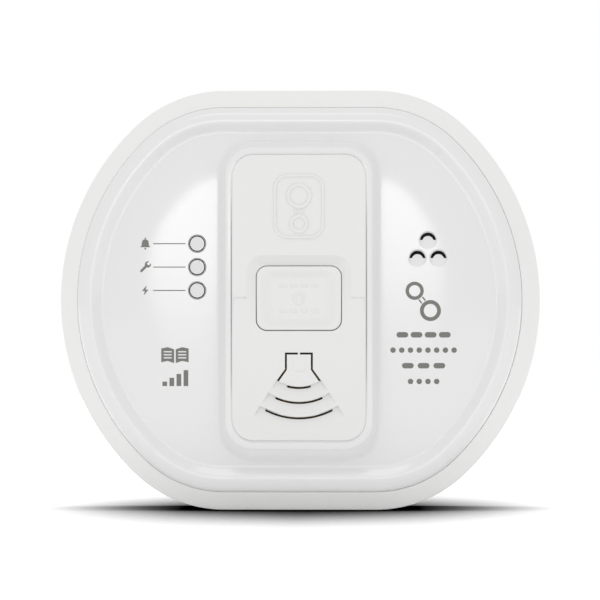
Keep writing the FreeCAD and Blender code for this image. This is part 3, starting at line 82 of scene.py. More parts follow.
# The pedestal's foot reaches a little lower than its top edge asks, in a wide soft slope
PEDESTAL_FOOT_Z = PANEL_Z - 0.55
PEDESTAL_HALF = (20.35, 40.05)
PEDESTAL_CORNER = 9.0
OPENING_HALF = (16.8, 35.7)
OPENING_CORNER = 5.5
LEDGE_Y = -19.9
# Bottom of the shallow gap round the panel
GAP_Y = -21.4
SHAFT_HALF = (14.5, 33.4)
SHAFT_CORNER = 3.2
PANEL_HALF = (16.6, 35.5)
PANEL_CORNER = 5.3

LIGHTS = tuple((-25.3, 54.7 + 5.8 * step) for step in range(3))
LIGHT_RADIUS = 2.05
GAS_INLETS = tuple(
    (31.9 + 3.0 * math.cos(math.radians(turn)), 64.1 + 3.0 * math.sin(math.radians(turn)))
    for turn in (90, 210, 330)
)
GAS_RADIUS = 2.1
GAS_DEPTH = 1.0
# The crescent slot lies between two arcs, the inner one drawn round a lower middle
CRESCENT_OUTER = 1.96
CRESCENT_INNER = 1.4
CRESCENT_DROP = 0.3
CRESCENT_FOOT = 0.1

# Centre panel
BUTTON_Z = 52.7
HOLE_HALF = (10.65, 8.1)
HOLE_CORNER = 2.8
RECESS_HALF = 13.0
RECESS_TOP = BUTTON_Z + 10.6
RECESS_FOOT = BUTTON_Z - 8.9
RECESS_DEPTH = 1.15
RECESS_CORNER = 4.2
BEZEL_WIDTH = 2.3
NOTCH_OUTER = 16.2
NOTCH_TOP = BUTTON_Z + 0.2
NOTCH_FOOT = BUTTON_Z - 6.0
NOTCH_DEPTH = 0.28
HORN_Z = 40.8
ARC_RADII = (10.0, 13.7, 17.5)
ARC_SPANS = tuple(math.radians(half) for half in (16.5, 24.5, 27.75))
ARC_HALF_SECTOR = math.radians(33)
ARC_SLOT = 0.5
ARC_RAMP = 3.1
ARC_DEPTH = 0.9
# Faint raised pad inside the horn's neck
NECK_PAD = ((0.0, 36.4), (1.55, 1.7), 0.3)
NECK_PAD_RELIEF = 0.08
NECK_SLOT = (
    (0.25, 39.3), (3.45, 39.3), (3.45, 35.18), (5.45, 32.4),
    (4.95, 32.2), (2.95, 35.02), (2.95, 38.8), (0.25, 38.8),
)

# Button
BUTTON_HALF = (10.45, 7.9)
BUTTON_CORNER = 2.6
BUTTON_Y = -21.7
DISH_DEPTH = 0.5
# Half the dish's flat floor, and the width of the slopes round it
DISH_FLAT = (6.3, 4.8)
DISH_SLOPE = (3.4, 2.3)


def linear(hex_colour):
    """An sRGB hex value as linear red, green and blue."""
    parts = [int(hex_colour[place : place + 2], 16) / 255 for place in (1, 3, 5)]
    return tuple(p / 12.92 if p <= 0.04045 else ((p + 0.055) / 1.055) ** 2.4 for p in parts)


class DetectorFinish(bpy.types.PropertyGroup):
    """Colours of the plastics and the print."""

    gloss_white: FloatVectorProperty(
        name="Glossy white", description="Colour of the front cover", subtype="COLOR", size=3,
        min=0.0, max=1.0, default=linear("#EAEAEA"),
    )
    satin_white: FloatVectorProperty(
        name="Satin white", description="Colour of the panel and the button", subtype="COLOR", size=3,
        min=0.0, max=1.0, default=linear("#E9E9E8"),
    )
    matt_white: FloatVectorProperty(
        name="Matt white", description="Colour of the back cover and the plate", subtype="COLOR", size=3,
        min=0.0, max=1.0, default=linear("#F0F0EF"),
    )
    print_grey: FloatVectorProperty(
        name="Print grey", description="Colour of the printed symbols", subtype="COLOR", size=3,
        min=0.0, max=1.0, default=linear("#757570"),
    )


class DetectorSizes(bpy.types.PropertyGroup):
    """Small sizes that a maker would tune."""

    parting_gap: FloatProperty(
        name="Parting gap", description="Width of the groove between the two covers",
        default=0.08 * MM, min=0.0, unit="LENGTH", subtype="DISTANCE",
    )
    emblem_height: FloatProperty(
        name="Emblem relief", description="How far the panel's emblem stands out",
        default=0.3 * MM, min=0.0, unit="LENGTH", subtype="DISTANCE",
    )
    mark_height: FloatProperty(
        name="Button mark relief", description="How far the button's marks stand out",
        default=0.16 * MM, min=0.0, unit="LENGTH", subtype="DISTANCE",
    )
    print_height: FloatProperty(
        name="Print thickness", description="How far the print stands on the cover",
        default=0.02 * MM, min=0.0, unit="LENGTH", subtype="DISTANCE",
    )


class DetectorStudio(bpy.types.PropertyGroup):
    """Camera and light."""

    camera_distance: FloatProperty(
        name="Camera distance", description="From the lens to the widest part of the case",
        default=0.935, min=0.1, unit="LENGTH", subtype="DISTANCE",
    )
    focal_length: FloatProperty(
        name="Focal length", description="Lens, in millimetres on a 36 mm sensor", default=224.1, min=10.0,
    )
    softbox_power: FloatProperty(
        name="Softbox power", description="Power of the oval softbox in front", default=1.0, min=0.0,
        unit="POWER",
    )
    overhead_power: FloatProperty(
        name="Overhead power", description="Power of the lamp above", default=1.5, min=0.0, unit="POWER",
    )
    ambient: FloatProperty(
        name="Ambient", description="Strength of the room's even light", default=0.84, min=0.0,
    )


# Shapes as distances: negative inside, in millimetres


def case_inset(x, z):
    """How far a place lies inside the case outline."""
    across, rise = np.abs(x), np.abs(z - MIDDLE_Z)
    flat = MIDDLE_Z - rise
    side = SIDE_RADIUS - np.hypot(across, rise)
    corner = CORNER_RADIUS - np.hypot(across - CORNER_X, rise - CORNER_RISE)
    beside = rise * CORNER_X < across * CORNER_RISE
    return np.where(across <= CORNER_X, flat, np.where(beside, side, corner))


def box_distance(x, z, middle, half, corner):
    """Distance to a rounded rectangle."""
    out_x = np.abs(x - middle[0]) - (half[0] - corner)
    out_z = np.abs(z - middle[1]) - (half[1] - corner)
    outside = np.hypot(np.maximum(out_x, 0), np.maximum(out_z, 0))
    return outside + np.minimum(np.maximum(out_x, out_z), 0) - corner


def ring_distance(x, z, middle, radius, half_band):
    return np.abs(np.hypot(x - middle[0], z - middle[1]) - radius) - half_band


def step(amount):
    """A smooth step from 0 to 1."""
    held = np.clip(amount, 0, 1)
    return held * held * (3 - 2 * held)


def inside_of(distance, edge=0.1):
    """1 inside a shape and 0 outside, with a steep edge of this width."""
    return step(0.5 - distance / edge)


def flat(y):
    """A height function for a flat face."""
    return lambda x, z: np.full_like(x, y)


def rounded_over(height, edge, radius, hold=0.999):
    """The height with its rim rounded over. edge is the distance to the outline."""
    over = np.clip(edge + radius, 0, radius * hold)
    return height + radius - np.sqrt(radius**2 - over**2)


def profile(places, slopes):
    """A curve whose slope runs in straight lines between the given ones, starting at nought."""
    fine = np.arange(places[0], places[-1], 0.01)
    slope = np.interp(fine, places, slopes)
    height = np.concatenate(([0], np.cumsum((slope[1:] + slope[:-1]) / 2) * 0.01))
    return lambda place: np.interp(place, fine, height)


# Loops of points


def outline_loop(inset, spacing=1.2):
    """The case outline at an inset, counter-clockwise seen from the front.

    Every inset has the same number of points.
    """
    points = []
    for start, end, middle, radius in (
        (-CORNER_TURN, CORNER_TURN, (0, 0), SIDE_RADIUS),
        (CORNER_TURN, math.pi / 2, (CORNER_X, CORNER_RISE), CORNER_RADIUS),
        (None, -1, (0, 0), MIDDLE_Z),
        (math.pi / 2, math.pi - CORNER_TURN, (-CORNER_X, CORNER_RISE), CORNER_RADIUS),
        (math.pi - CORNER_TURN, math.pi + CORNER_TURN, (0, 0), SIDE_RADIUS),
        (math.pi + CORNER_TURN, 1.5 * math.pi, (-CORNER_X, -CORNER_RISE), CORNER_RADIUS),
        (None, 1, (0, 0), MIDDLE_Z),
        (1.5 * math.pi, 2 * math.pi - CORNER_TURN, (CORNER_X, -CORNER_RISE), CORNER_RADIUS),
    ):
        if start is None:
            count = round(2 * CORNER_X / spacing)
            for number in range(count):
                x = end * CORNER_X * (2 * number / count - 1)
                points.append((x, MIDDLE_Z - end * (radius - inset)))
            continue
        count = round((end - start) * radius / spacing)
        for number in range(count):
            turn = start + (end - start) * number / count
            points.append((
                middle[0] + (radius - inset) * math.cos(turn),
                MIDDLE_Z + middle[1] + (radius - inset) * math.sin(turn),
            ))
    return points


def box_loop(middle, half, corner, spacing=0.8, arc_steps=10):
    """A rounded rectangle, counter-clockwise seen from the front."""
    points = []
    inner = (half[0] - corner, half[1] - corner)
    for quarter, (sx, sz) in enumerate(((1, 1), (-1, 1), (-1, -1), (1, -1))):
        for number in range(arc_steps + 1):
            turn = (quarter + number / arc_steps) * math.pi / 2
            points.append((
                middle[0] + sx * inner[0] + corner * math.cos(turn),
                middle[1] + sz * inner[1] + corner * math.sin(turn),
            ))
        run = 2 * inner[0] if quarter % 2 == 0 else 2 * inner[1]
        along = (-sx, 0) if quarter % 2 == 0 else (0, -sz)
        count = max(1, round(run / spacing))
        last = points[-1]
        points += [
            (last[0] + along[0] * run * number / count, last[1] + along[1] * run * number / count)
            for number in range(1, count)
        ]
    return points


def box_loops(middle, half, corner, shifts, spacing=0.8, arc_steps=10):
    """Rounded rectangles round one middle, each grown by its own shift."""
    return [
        box_loop(middle, [size + shift for size in half], corner + shift, spacing, arc_steps)
        for shift in shifts
    ]


def circle_loop(middle, radius, count=48):
    return [
        (
            middle[0] + radius * math.cos(2 * math.pi * number / count),
            middle[1] + radius * math.sin(2 * math.pi * number / count),
        )
        for number in range(count)
    ]


def ring_loops(middle, radius, half_band, count):
    """Circles across both steep edges of a raised ring."""
    return [
        circle_loop(middle, radius + edge + shift, count)
        for edge in (half_band, -half_band)
        for shift in ACROSS_STEP
    ]


def resampled(corners, spacing=0.4):
    """A closed polygon with points along its sides."""
    points = []
    for here, there in zip(corners, corners[1:] + corners[:1]):
        count = max(1, round(math.dist(here, there) / spacing))
        points += [
            tuple(a + (b - a) * number / count for a, b in zip(here, there)) for number in range(count)
        ]
    return points


def grid_points(low, high, spacing):
    across = np.arange(low[0], high[0], spacing)
    up = np.arange(low[1], high[1], spacing)
    x, z = np.meshgrid(across, up)
    return np.stack((x.ravel(), z.ravel()), axis=1)


def cleared(points, loops, clearance):
    """The free points that keep clear of every loop."""
    taken = [place for loop in loops for place in loop]
    tree = kdtree.KDTree(len(taken))
    for number, (x, z) in enumerate(taken):
        tree.insert((x, z, 0), number)
    tree.balance()
    return [tuple(p) for p in points if tree.find((p[0], p[1], 0))[2] > clearance]


# Meshes


def triangles_over(loops, points):
    """Triangles that hold every loop as edges, as an array of places and an array of corners."""
    places = [Vector(p) for loop in loops for p in loop] + [Vector(p) for p in points]
    edges, first = [], 0
    for loop in loops:
        edges += [(first + n, first + (n + 1) % len(loop)) for n in range(len(loop))]
        first += len(loop)
    places, _, faces = geometry.delaunay_2d_cdt(places, edges, [], 0, 1e-6)[:3]
    places = np.array([tuple(p) for p in places])
    faces = np.array([tuple(f) for f in faces])
    a, b, c = places[faces[:, 0]], places[faces[:, 1]], places[faces[:, 2]]
    turned = (b[:, 0] - a[:, 0]) * (c[:, 1] - a[:, 1]) - (b[:, 1] - a[:, 1]) * (c[:, 0] - a[:, 0])
    faces[turned < 0] = faces[turned < 0][:, ::-1]
    return places, faces[np.abs(turned) > 1e-9]


def surface_normals(height, x, z, faces_front):
    reach = 0.01
    slope_x = (height(x + reach, z) - height(x - reach, z)) / (2 * reach)
    slope_z = (height(x, z + reach) - height(x, z - reach)) / (2 * reach)
    normals = np.stack((slope_x, -np.ones_like(x), slope_z), axis=1)
    normals /= np.linalg.norm(normals, axis=1)[:, None]
    return normals if faces_front else -normals


def open_edges(faces):
    """Edges that only one triangle uses, in that triangle's direction."""
    pairs = np.concatenate((faces[:, [0, 1]], faces[:, [1, 2]], faces[:, [2, 0]]))
    known = {(a, b) for a, b in pairs.tolist()}
    return [(a, b) for a, b in pairs.tolist() if (b, a) not in known]


def wall_normals(places, edges):
    """Outward direction at each end of each open edge, smooth where the wall bends gently."""
    direction = {}
    for a, b in edges:
        run = places[b] - places[a]
        length = max(np.linalg.norm(run), 1e-9)
        direction[(a, b)] = np.array((run[1], -run[0])) / length
    at_corner = {}
    for (a, b), way in direction.items():
        at_corner.setdefault(a, []).append(way)
        at_corner.setdefault(b, []).append(way)
    ends = {}
    for (a, b), way in direction.items():
        both = []
        for corner in (a, b):
            near = [other for other in at_corner[corner] if np.dot(other, way) > 0.8]
            total = np.sum(near, axis=0)
            both.append(total / np.linalg.norm(total))
        ends[(a, b)] = both
    return ends


class Shell:
    """Collects faces with a normal for each corner, and turns them into one closed mesh."""

    def __init__(self):
        self.places, self.faces, self.normals = [], [], []

    def add(self, places, faces, normals):
        """normals has one row for each corner of each face, in order."""
        first = len(self.places)
        self.places += [tuple(p) for p in places]
        self.faces += [tuple(first + n for n in face) for face in faces]
        self.normals += [tuple(n) for n in normals]

    def add_relief(self, loops, points, inside, front, back, back_inside=None):
        """A slab between two height functions, over the triangles whose middles are inside."""
        places, faces = triangles_over(loops, points)
        middle = places[faces].mean(axis=1)
        front_faces = faces[inside(middle[:, 0], middle[:, 1])]
        test = back_inside or inside
        back_faces = faces[test(middle[:, 0], middle[:, 1])]
        x, z = places[:, 0], places[:, 1]
        near, far = front(x, z), back(x, z)
        near_normals = surface_normals(front, x, z, True)
        far_normals = surface_normals(back, x, z, False)
        near_places = np.stack((x, near, z), axis=1)
        far_places = np.stack((x, far, z), axis=1)
        self.add(near_places, front_faces, near_normals[front_faces].reshape(-1, 3))
        turned = back_faces[:, ::-1]
        self.add(far_places, turned, far_normals[turned].reshape(-1, 3))
        edges = open_edges(front_faces)
        if back_inside:
            shared = set(open_edges(back_faces))
            edges = [edge for edge in edges if edge in shared]
        ends = wall_normals(places, edges)
        for a, b in edges:
            corners = (near_places[a], far_places[a], far_places[b], near_places[b])
            at_a, at_b = ends[(a, b)]
            rows = [(w[0], 0, w[1]) for w in (at_a, at_a, at_b, at_b)]
            self.add(corners, [(0, 1, 2, 3)], rows)

    def add_skin(self, section, spacing=1.2):
        """A skin swept round the outline. section has rows of inset, depth and normal as (outward, depth)."""
        loops = [np.array(outline_loop(inset, spacing)) for inset, *_ in section]
        middle = np.array(outline_loop(0, spacing))
        inner = np.array(outline_loop(1, spacing))
        outward = middle - inner
        outward /= np.linalg.norm(outward, axis=1)[:, None]
        count = len(loops[0])
        for (row, (_, y0, out0, deep0)), (_, y1, out1, deep1) in zip(enumerate(section), section[1:]):
            here, there = loops[row], loops[row + 1]
            places, faces, normals = [], [], []
            for n in range(count):
                m = (n + 1) % count
                first = len(places)
                places += [
                    (here[n][0], y0, here[n][1]), (there[n][0], y1, there[n][1]),
                    (there[m][0], y1, there[m][1]), (here[m][0], y0, here[m][1]),
                ]
                faces.append((first, first + 1, first + 2, first + 3))
                ends = ((out0, deep0), (out1, deep1))
                for which, (out, deep) in zip((n, n, m, m), ends + ends[::-1]):
                    normals.append((outward[which][0] * out, deep, outward[which][1] * out))
            self.add(places, faces, normals)

    def build(self, name, material):
        """One object at the origin, with its doubles merged and its own corner normals."""
        places = np.round(np.array(self.places), 5)
        _, first, index = np.unique(places, axis=0, return_index=True, return_inverse=True)
        index = index.ravel()
        faces, rows, corner = [], [], 0
        for face in self.faces:
            merged = [int(index[n]) for n in face]
            normals = self.normals[corner : corner + len(face)]
            corner += len(face)
            kept = [n for n in range(len(merged)) if merged[n] != merged[n - 1]]
            if len(kept) > 2:
                faces.append([merged[n] for n in kept])
                rows += [normals[n] for n in kept]
        mesh = bpy.data.meshes.new(name)
        mesh.from_pydata((places[first] * MM).tolist(), [], faces)
        mesh.polygons.foreach_set("use_smooth", [True] * len(mesh.polygons))
        mesh.normals_split_custom_set([Vector(row).normalized() for row in rows])
        mesh.update()
        piece = bpy.data.objects.new(name, mesh)
        bpy.context.scene.collection.objects.link(piece)
        mesh.materials.append(material)
        return piece


# Materials


def add_node(tree, kind, links=(), **settings):
    """A node with its settings, and links given as (input, source socket or value)."""
    node = tree.nodes.new(kind)
    for name, setting in settings.items():
        setattr(node, name, setting)
    for socket, source in links:
        if isinstance(source, bpy.types.NodeSocket):
            tree.links.new(source, node.inputs[socket])
        else:
            node.inputs[socket].default_value = source
    return node


def maths(tree, operation, *values):
    """The result of one sum on sockets or numbers."""
    return add_node(tree, "ShaderNodeMath", list(enumerate(values)), operation=operation).outputs[0]


def ranged(tree, value, low, high, start=0.0, end=1.0):
    """A value taken from the range start to end over to the range low to high, and held there."""
    return add_node(tree, "ShaderNodeMapRange", [
        ("Value", value), ("From Min", start), ("From Max", end), ("To Min", low), ("To Max", high),
    ]).outputs["Result"]


def shaded(tree, shader, factor, dark, light):
    """Let the base colour run between two colours."""
    shade = add_node(tree, "ShaderNodeMix", [
        ("Factor", factor), (6, (*dark, 1)), (7, (*light, 1)),
    ], data_type="RGBA")
    tree.links.new(shade.outputs[2], shader.inputs["Base Color"])


def polished(tree, shader, factor, low, high):
    """Let the roughness run between two values."""
    tree.links.new(ranged(tree, factor, low, high), shader.inputs["Roughness"])


def embossed(tree, shader, height, strength, depth_mm):
    """Let a pattern stand out of the surface."""
    relief = add_node(tree, "ShaderNodeBump", [
        ("Height", height), ("Strength", strength), ("Distance", depth_mm * MM),
    ])
    tree.links.new(relief.outputs["Normal"], shader.inputs["Normal"])


def new_material(name, **sockets):
    """A material with one Principled BSDF whose sockets are set."""
    material = bpy.data.materials.new(name)
    material.use_nodes = True
    tree = material.node_tree
    tree.nodes.clear()
    given = [(key.replace("_", " "), value) for key, value in sockets.items()]
    shader = add_node(tree, "ShaderNodeBsdfPrincipled", given)
    add_node(tree, "ShaderNodeOutputMaterial", [("Surface", shader.outputs["BSDF"])])
    coordinates = add_node(tree, "ShaderNodeTexCoord").outputs["Object"]
    return material, tree, shader, coordinates


def moulded_plastic(name, colour, roughness, ior, grain_mm, bump, spread, mottle_mm=9.0, tint=0.006):
    """Injection-moulded plastic: a faint mottle of colour, and a surface grain copied from the mould."""
    if name in bpy.data.materials:
        return bpy.data.materials[name]
    material, tree, shader, place = new_material(name, IOR=ior)
    mottle = add_node(tree, "ShaderNodeTexNoise", [
        ("Vector", place), ("Scale", 1 / (mottle_mm * MM)), ("Detail", 3.0), ("Roughness", 0.5),
    ])
    darker = tuple(part * (1 - tint) for part in colour)
    lighter = tuple(min(1.0, part * (1 + tint)) for part in colour)
    shaded(tree, shader, mottle.outputs["Fac"], darker, lighter)
    grain = add_node(tree, "ShaderNodeTexNoise", [
        ("Vector", place), ("Scale", 1 / (grain_mm * MM)), ("Detail", 2.0), ("Roughness", 0.55),
    ])
    polished(tree, shader, grain.outputs["Fac"], roughness - spread, roughness + spread)
    embossed(tree, shader, grain.outputs["Fac"], bump, 0.02)
    return material


def metal(name, colour, roughness, line_mm, stretch, bump=0.2):
    """Drawn, rolled or plated metal: fine lines along one direction, and a roughness that follows them."""
    if name in bpy.data.materials:
        return bpy.data.materials[name]
    material, tree, shader, place = new_material(name, Metallic=1.0)
    drawn = add_node(tree, "ShaderNodeMapping", [("Vector", place), ("Scale", stretch)])
    lines = add_node(tree, "ShaderNodeTexNoise", [
        ("Vector", drawn.outputs["Vector"]), ("Scale", 1 / (line_mm * MM)), ("Detail", 4.0),
    ])
    shaded(tree, shader, lines.outputs["Fac"], [part * 0.86 for part in colour], colour)
    polished(tree, shader, lines.outputs["Fac"], roughness * 0.8, roughness * 1.2)
    embossed(tree, shader, lines.outputs["Fac"], bump, 0.01)
    return material


def gloss_white_abs(context):
    """Polished-mould ABS: sharp reflections with the faintest ripple of the mould's polish."""
    finish = context.scene.detector_finish
    return moulded_plastic(
        "polished_white_abs", finish.gloss_white, 0.13, 1.54, 1.6, 0.02, 0.012, tint=0.004,
    )


def satin_white_abs(context):
    """Satin ABS: a soft sheen that smears reflections into a gradient."""
    finish = context.scene.detector_finish
    return moulded_plastic(
        "satin_white_abs", finish.satin_white, 0.38, 1.54, 0.35, 0.1, 0.03,
    )


def matt_white_abs(context):
    """Spark-eroded ABS: a fine dry grain about a quarter of a millimetre across, with no clear reflection."""
    finish = context.scene.detector_finish
    return moulded_plastic(
        "spark_eroded_white_abs", finish.matt_white, 0.55, 1.54, 0.28, 0.35, 0.05, tint=0.01,
    )


def screen_ink(context):
    """Screen-printed ink: a dull even film with slightly uneven cover."""
    finish = context.scene.detector_finish
    return moulded_plastic(
        "screen_printed_ink", finish.print_grey, 0.5, 1.5, 0.12, 0.15, 0.06, 0.5, tint=0.05,
    )


def zinc_plated_steel():
    """Bright zinc plating: pale blue-grey metal with a faintly uneven sheen."""
    return metal(
        "zinc_plated_steel", linear("#C6C8CA"), 0.28, 0.8, (1, 1, 1), 0.15,
    )


def oxidised_steel_wire():
    """Stainless wire made near black as painted shade for the gas inlets in front of it, with a dull metallic
    glint along each wire.
    """
    return metal(
        "oxidised_steel_wire", linear("#1C1C1C"), 0.45, 0.3, (1, 1, 1), 0.2,
    )


def solder_mask(name):
    """Green solder mask over copper: glossy lacquer, lighter where tracks lie below it."""
    material, tree, shader, place = new_material(name, Roughness=0.28, IOR=1.5)
    flat = add_node(tree, "ShaderNodeMapping", [("Vector", place), ("Rotation", (math.pi / 2, 0, 0))])
    tracks = add_node(tree, "ShaderNodeTexBrick", [
        ("Vector", flat.outputs["Vector"]), ("Scale", 1 / (3.2 * MM)), ("Mortar Size", 0.07), ("Bias", -0.2),
        ("Mortar Smooth", 0.1), ("Brick Width", 1.6), ("Row Height", 0.5),
        ("Color1", (*linear("#14502E"), 1)), ("Color2", (*linear("#175735"), 1)),
        ("Mortar", (*linear("#2E7A4C"), 1)),
    ])
    tree.links.new(tracks.outputs["Color"], shader.inputs["Base Color"])
    embossed(tree, shader, tracks.outputs["Fac"], 0.4, 0.03)
    return material


def foam_rubber(name):
    """Closed-cell foam: dark, dry, with open cells of about a third of a millimetre."""
    material, tree, shader, place = new_material(name, Roughness=0.95, IOR=1.5)
    cells = add_node(tree, "ShaderNodeTexVoronoi", [("Vector", place), ("Scale", 1 / (0.33 * MM))])
    shaded(tree, shader, cells.outputs["Distance"], linear("#141414"), linear("#2C2C2C"))
    embossed(tree, shader, cells.outputs["Distance"], 0.8, 0.1)
    return material


def clear_resin(name, colour, roughness, transmission):
    """Cast or moulded clear resin: tinted through its depth, with faint flow marks."""
    material, tree, shader, place = new_material(name, IOR=1.5, Transmission_Weight=transmission)
    flow = add_node(tree, "ShaderNodeTexNoise", [
        ("Vector", place), ("Scale", 1 / (0.9 * MM)), ("Detail", 2.0),
    ])
    shaded(tree, shader, flow.outputs["Fac"], [part * 0.92 for part in colour], colour)
    polished(tree, shader, flow.outputs["Fac"], roughness * 0.8, roughness * 1.2)
    return material


# Front cover

WELL = profile(WELL_INSETS, WELL_SLOPES)
PEDESTAL_RISE = profile((0, 0.22, 0.6, 0.67, 1.0), (0, 1.4, 1.4, 0.06, 0.03))
# Shares of the way from the pedestal's foot to its top edge that get a loop, closest where it bends
PEDESTAL_SHARES = (0.0, 0.05, 0.1, 0.15, 0.22, 0.3, 0.42, 0.53, 0.6, 0.635, 0.67, 0.72, 0.85, 0.94)
# Insets of the panel opening's loops: the panel gap's step, then the ledge's
OPENING_SHIFTS = (-0.01, -0.04, -0.07, -0.22, -0.26, -0.3, -0.8)
INNER_Y = -14.0
# A skirt on the inside follows the outline between these insets. It reaches behind the parting's
# land by SKIRT_REACH, and stands out from the inner face of the well by SKIRT_HEIGHT
SKIRT_INSETS = (7.45, 8.75)
SKIRT_STEP = 0.1
SKIRT_REACH = 2.0
SKIRT_HEIGHT = 3.0
# The free points of the well start inside the rim's loops
WELL_FREE_INSET = 12.4


def arch(z):
    """The gentle arch of the panel and the pedestal, from top to bottom."""
    return PANEL_Y + (z - PANEL_Z) ** 2 / (2 * ARCH_RADIUS)


def pedestal_distances(x, z):
    foot = box_distance(x, z, (0, PEDESTAL_FOOT_Z), PEDESTAL_HALF, PEDESTAL_CORNER)
    opening = box_distance(x, z, (0, PANEL_Z), OPENING_HALF, OPENING_CORNER)
    return foot, opening


def well_height(x, z):
    """The rim, its inner slope and the domed face."""
    inset = case_inset(x, z)
    across = np.clip(CREST_INSET - inset, -RIM_RADIUS, RIM_RADIUS * 0.9999)
    band = RIM_START_Y - np.sqrt(RIM_RADIUS**2 - across**2)
    band = band + np.clip(PARTING_INSET + 0.0004 - inset, 0, None) * 50
    return np.where(inset < CREST_INSET, band, CREST_Y + WELL(inset))


def face_height(x, z):
    """The cover's front with its pedestal, without dimples."""
    foot, opening = pedestal_distances(x, z)
    share = np.clip(-foot / np.maximum(opening - foot, 1e-6), 0, 1)
    rise = PEDESTAL_RISE(share * 0.9999) / PEDESTAL_RISE(0.9999)
    well = well_height(x, z)
    height = well + (arch(z) - well) * rise
    return np.where(foot > 0, well, height)


def cover_height(x, z):
    """The finished front of the front cover."""
    height = face_height(x, z)
    _, opening = pedestal_distances(x, z)
    height = height + (GAP_Y - height) * inside_of(opening + 0.04, 0.06)
    height = height + (LEDGE_Y - height) * inside_of(opening + 0.26, 0.06)
    for gas_x, gas_z in GAS_INLETS:
        across, up = x - gas_x, z - gas_z
        depth = GAS_DEPTH * np.clip((up + GAS_RADIUS) / (2 * GAS_RADIUS), 0, 1)
        height = height + depth * inside_of(np.hypot(across, up) - GAS_RADIUS, 0.1)
    return height


def in_crescent(x, z, middle):
    """The slot that follows the upper half of a gas dimple's wall and tapers to its ends."""
    across, up = x - middle[0], z - middle[1]
    outer = np.hypot(across, up) < CRESCENT_OUTER
    inner = np.hypot(across, up + CRESCENT_DROP) > CRESCENT_INNER
    return outer & inner & (up > CRESCENT_FOOT)


def crescent_loop(middle):
    start = math.asin(CRESCENT_FOOT / CRESCENT_OUTER)
    points = [
        (CRESCENT_OUTER * math.cos(t), CRESCENT_OUTER * math.sin(t))
        for t in np.linspace(start, math.pi - start, 30)
    ]
    begin = math.asin((CRESCENT_FOOT + CRESCENT_DROP) / CRESCENT_INNER)
    points += [
        (CRESCENT_INNER * math.cos(t), CRESCENT_INNER * math.sin(t) - CRESCENT_DROP)
        for t in np.linspace(math.pi - begin, begin, 26)
    ]
    return [(middle[0] + x, middle[1] + z) for x, z in points]


class DETECTOR_OT_front_cover(bpy.types.Operator):
    """Make the glossy front cover with its rim, well, pedestal, light holes and gas inlets"""

    bl_idname = "detector.front_cover"
    bl_label = "Front cover"

    def execute(self, context):
        rim = [CREST_INSET - RIM_RADIUS * math.cos(math.radians(turn)) for turn in range(0, 91, 6)]
        insets = rim + list(np.arange(8.6, 12.1, 0.28))
        insets += [inset + width for inset in SKIRT_INSETS for width in (0, SKIRT_STEP)]
        loops = [outline_loop(inset, 1.0) for inset in insets]
        for share in PEDESTAL_SHARES:
            half = [f + (o - f) * share for f, o in zip(PEDESTAL_HALF, OPENING_HALF)]
            corner = PEDESTAL_CORNER + (OPENING_CORNER - PEDESTAL_CORNER) * share
            middle_z = PEDESTAL_FOOT_Z + (PANEL_Z - PEDESTAL_FOOT_Z) * share
            loops.append(box_loop((0, middle_z), half, corner, 0.8, 12))
        loops += box_loops((0, PANEL_Z), OPENING_HALF, OPENING_CORNER, OPENING_SHIFTS, 0.8, 12)
        loops.append(box_loop((0, PANEL_Z), SHAFT_HALF, SHAFT_CORNER, 0.8, 6))
        for middle in LIGHTS:
            loops += [circle_loop(middle, LIGHT_RADIUS + more) for more in (0.0, 0.3)]
        for middle in GAS_INLETS:
            loops.append(crescent_loop(middle))
            loops += [circle_loop(middle, GAS_RADIUS + more, 56) for more in (0.3, 0.05, 0.0, -0.05)]
        free = grid_points((-60, 0), (60, 105), 1.15)
        for middle in GAS_INLETS:
            low, high = ([place + side * GAS_RADIUS for place in middle] for side in (-1, 1))
            free = np.concatenate((free, grid_points(low, high, 0.35)))
        free = free[case_inset(free[:, 0], free[:, 1]) > WELL_FREE_INSET]
        points = cleared(free, loops, 0.3)

        def inside(x, z):
            kept = case_inset(x, z) > PARTING_INSET + 0.0002
            kept &= box_distance(x, z, (0, PANEL_Z), SHAFT_HALF, SHAFT_CORNER) > 0
            for middle in LIGHTS:
                kept &= np.hypot(x - middle[0], z - middle[1]) > LIGHT_RADIUS - 0.001
            for middle in GAS_INLETS:
                kept &= ~in_crescent(x, z, middle)
            return kept

        def rear(x, z):
            start, end = (step((case_inset(x, z) - inset) / SKIRT_STEP) for inset in SKIRT_INSETS)
            return INNER_Y + start * SKIRT_REACH - end * SKIRT_HEIGHT

        shell = Shell()
        shell.add_relief(loops, points, inside, cover_height, rear)
        piece = shell.build("front_cover_moulding", gloss_white_abs(context))
        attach(piece, "housing")
        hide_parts("front_cover")
        return {"FINISHED"}


# Back cover

LAND_Y = -13.82
LAND_REAR_Y = -13.2
LAND_WIDTH = 0.6
# Run and rise of the shoulder's cone
SHOULDER = (6.0, 4.7)
REAR_Y = 21.5
REAR_ROUNDING = 1.5
WALL = 2.5
FLOOR_Y = 16.5
# The pocket that takes the mounting plate
POCKET_INSET = 8.9
POCKET_DEPTH = 3.0
POCKET_STEP = 0.12
# Sunk seats of the case screws
SEAT_RADIUS = 3.0
SEAT_DEPTH = 2.3
SEAT_HOLE = 1.6
SEAT_SPREAD = (36.0, 29.0)
# Slots that take the mounting plate's hooks
HOOK_FEET = tuple((side * 25.0, foot) for side in (-1, 1) for foot in (34.0, 76.0))
HOOK_SLOT_HALF = (3.3, 5.8)
PLUNGER_HOLE = ((-20.0, 60.0), 2.2)


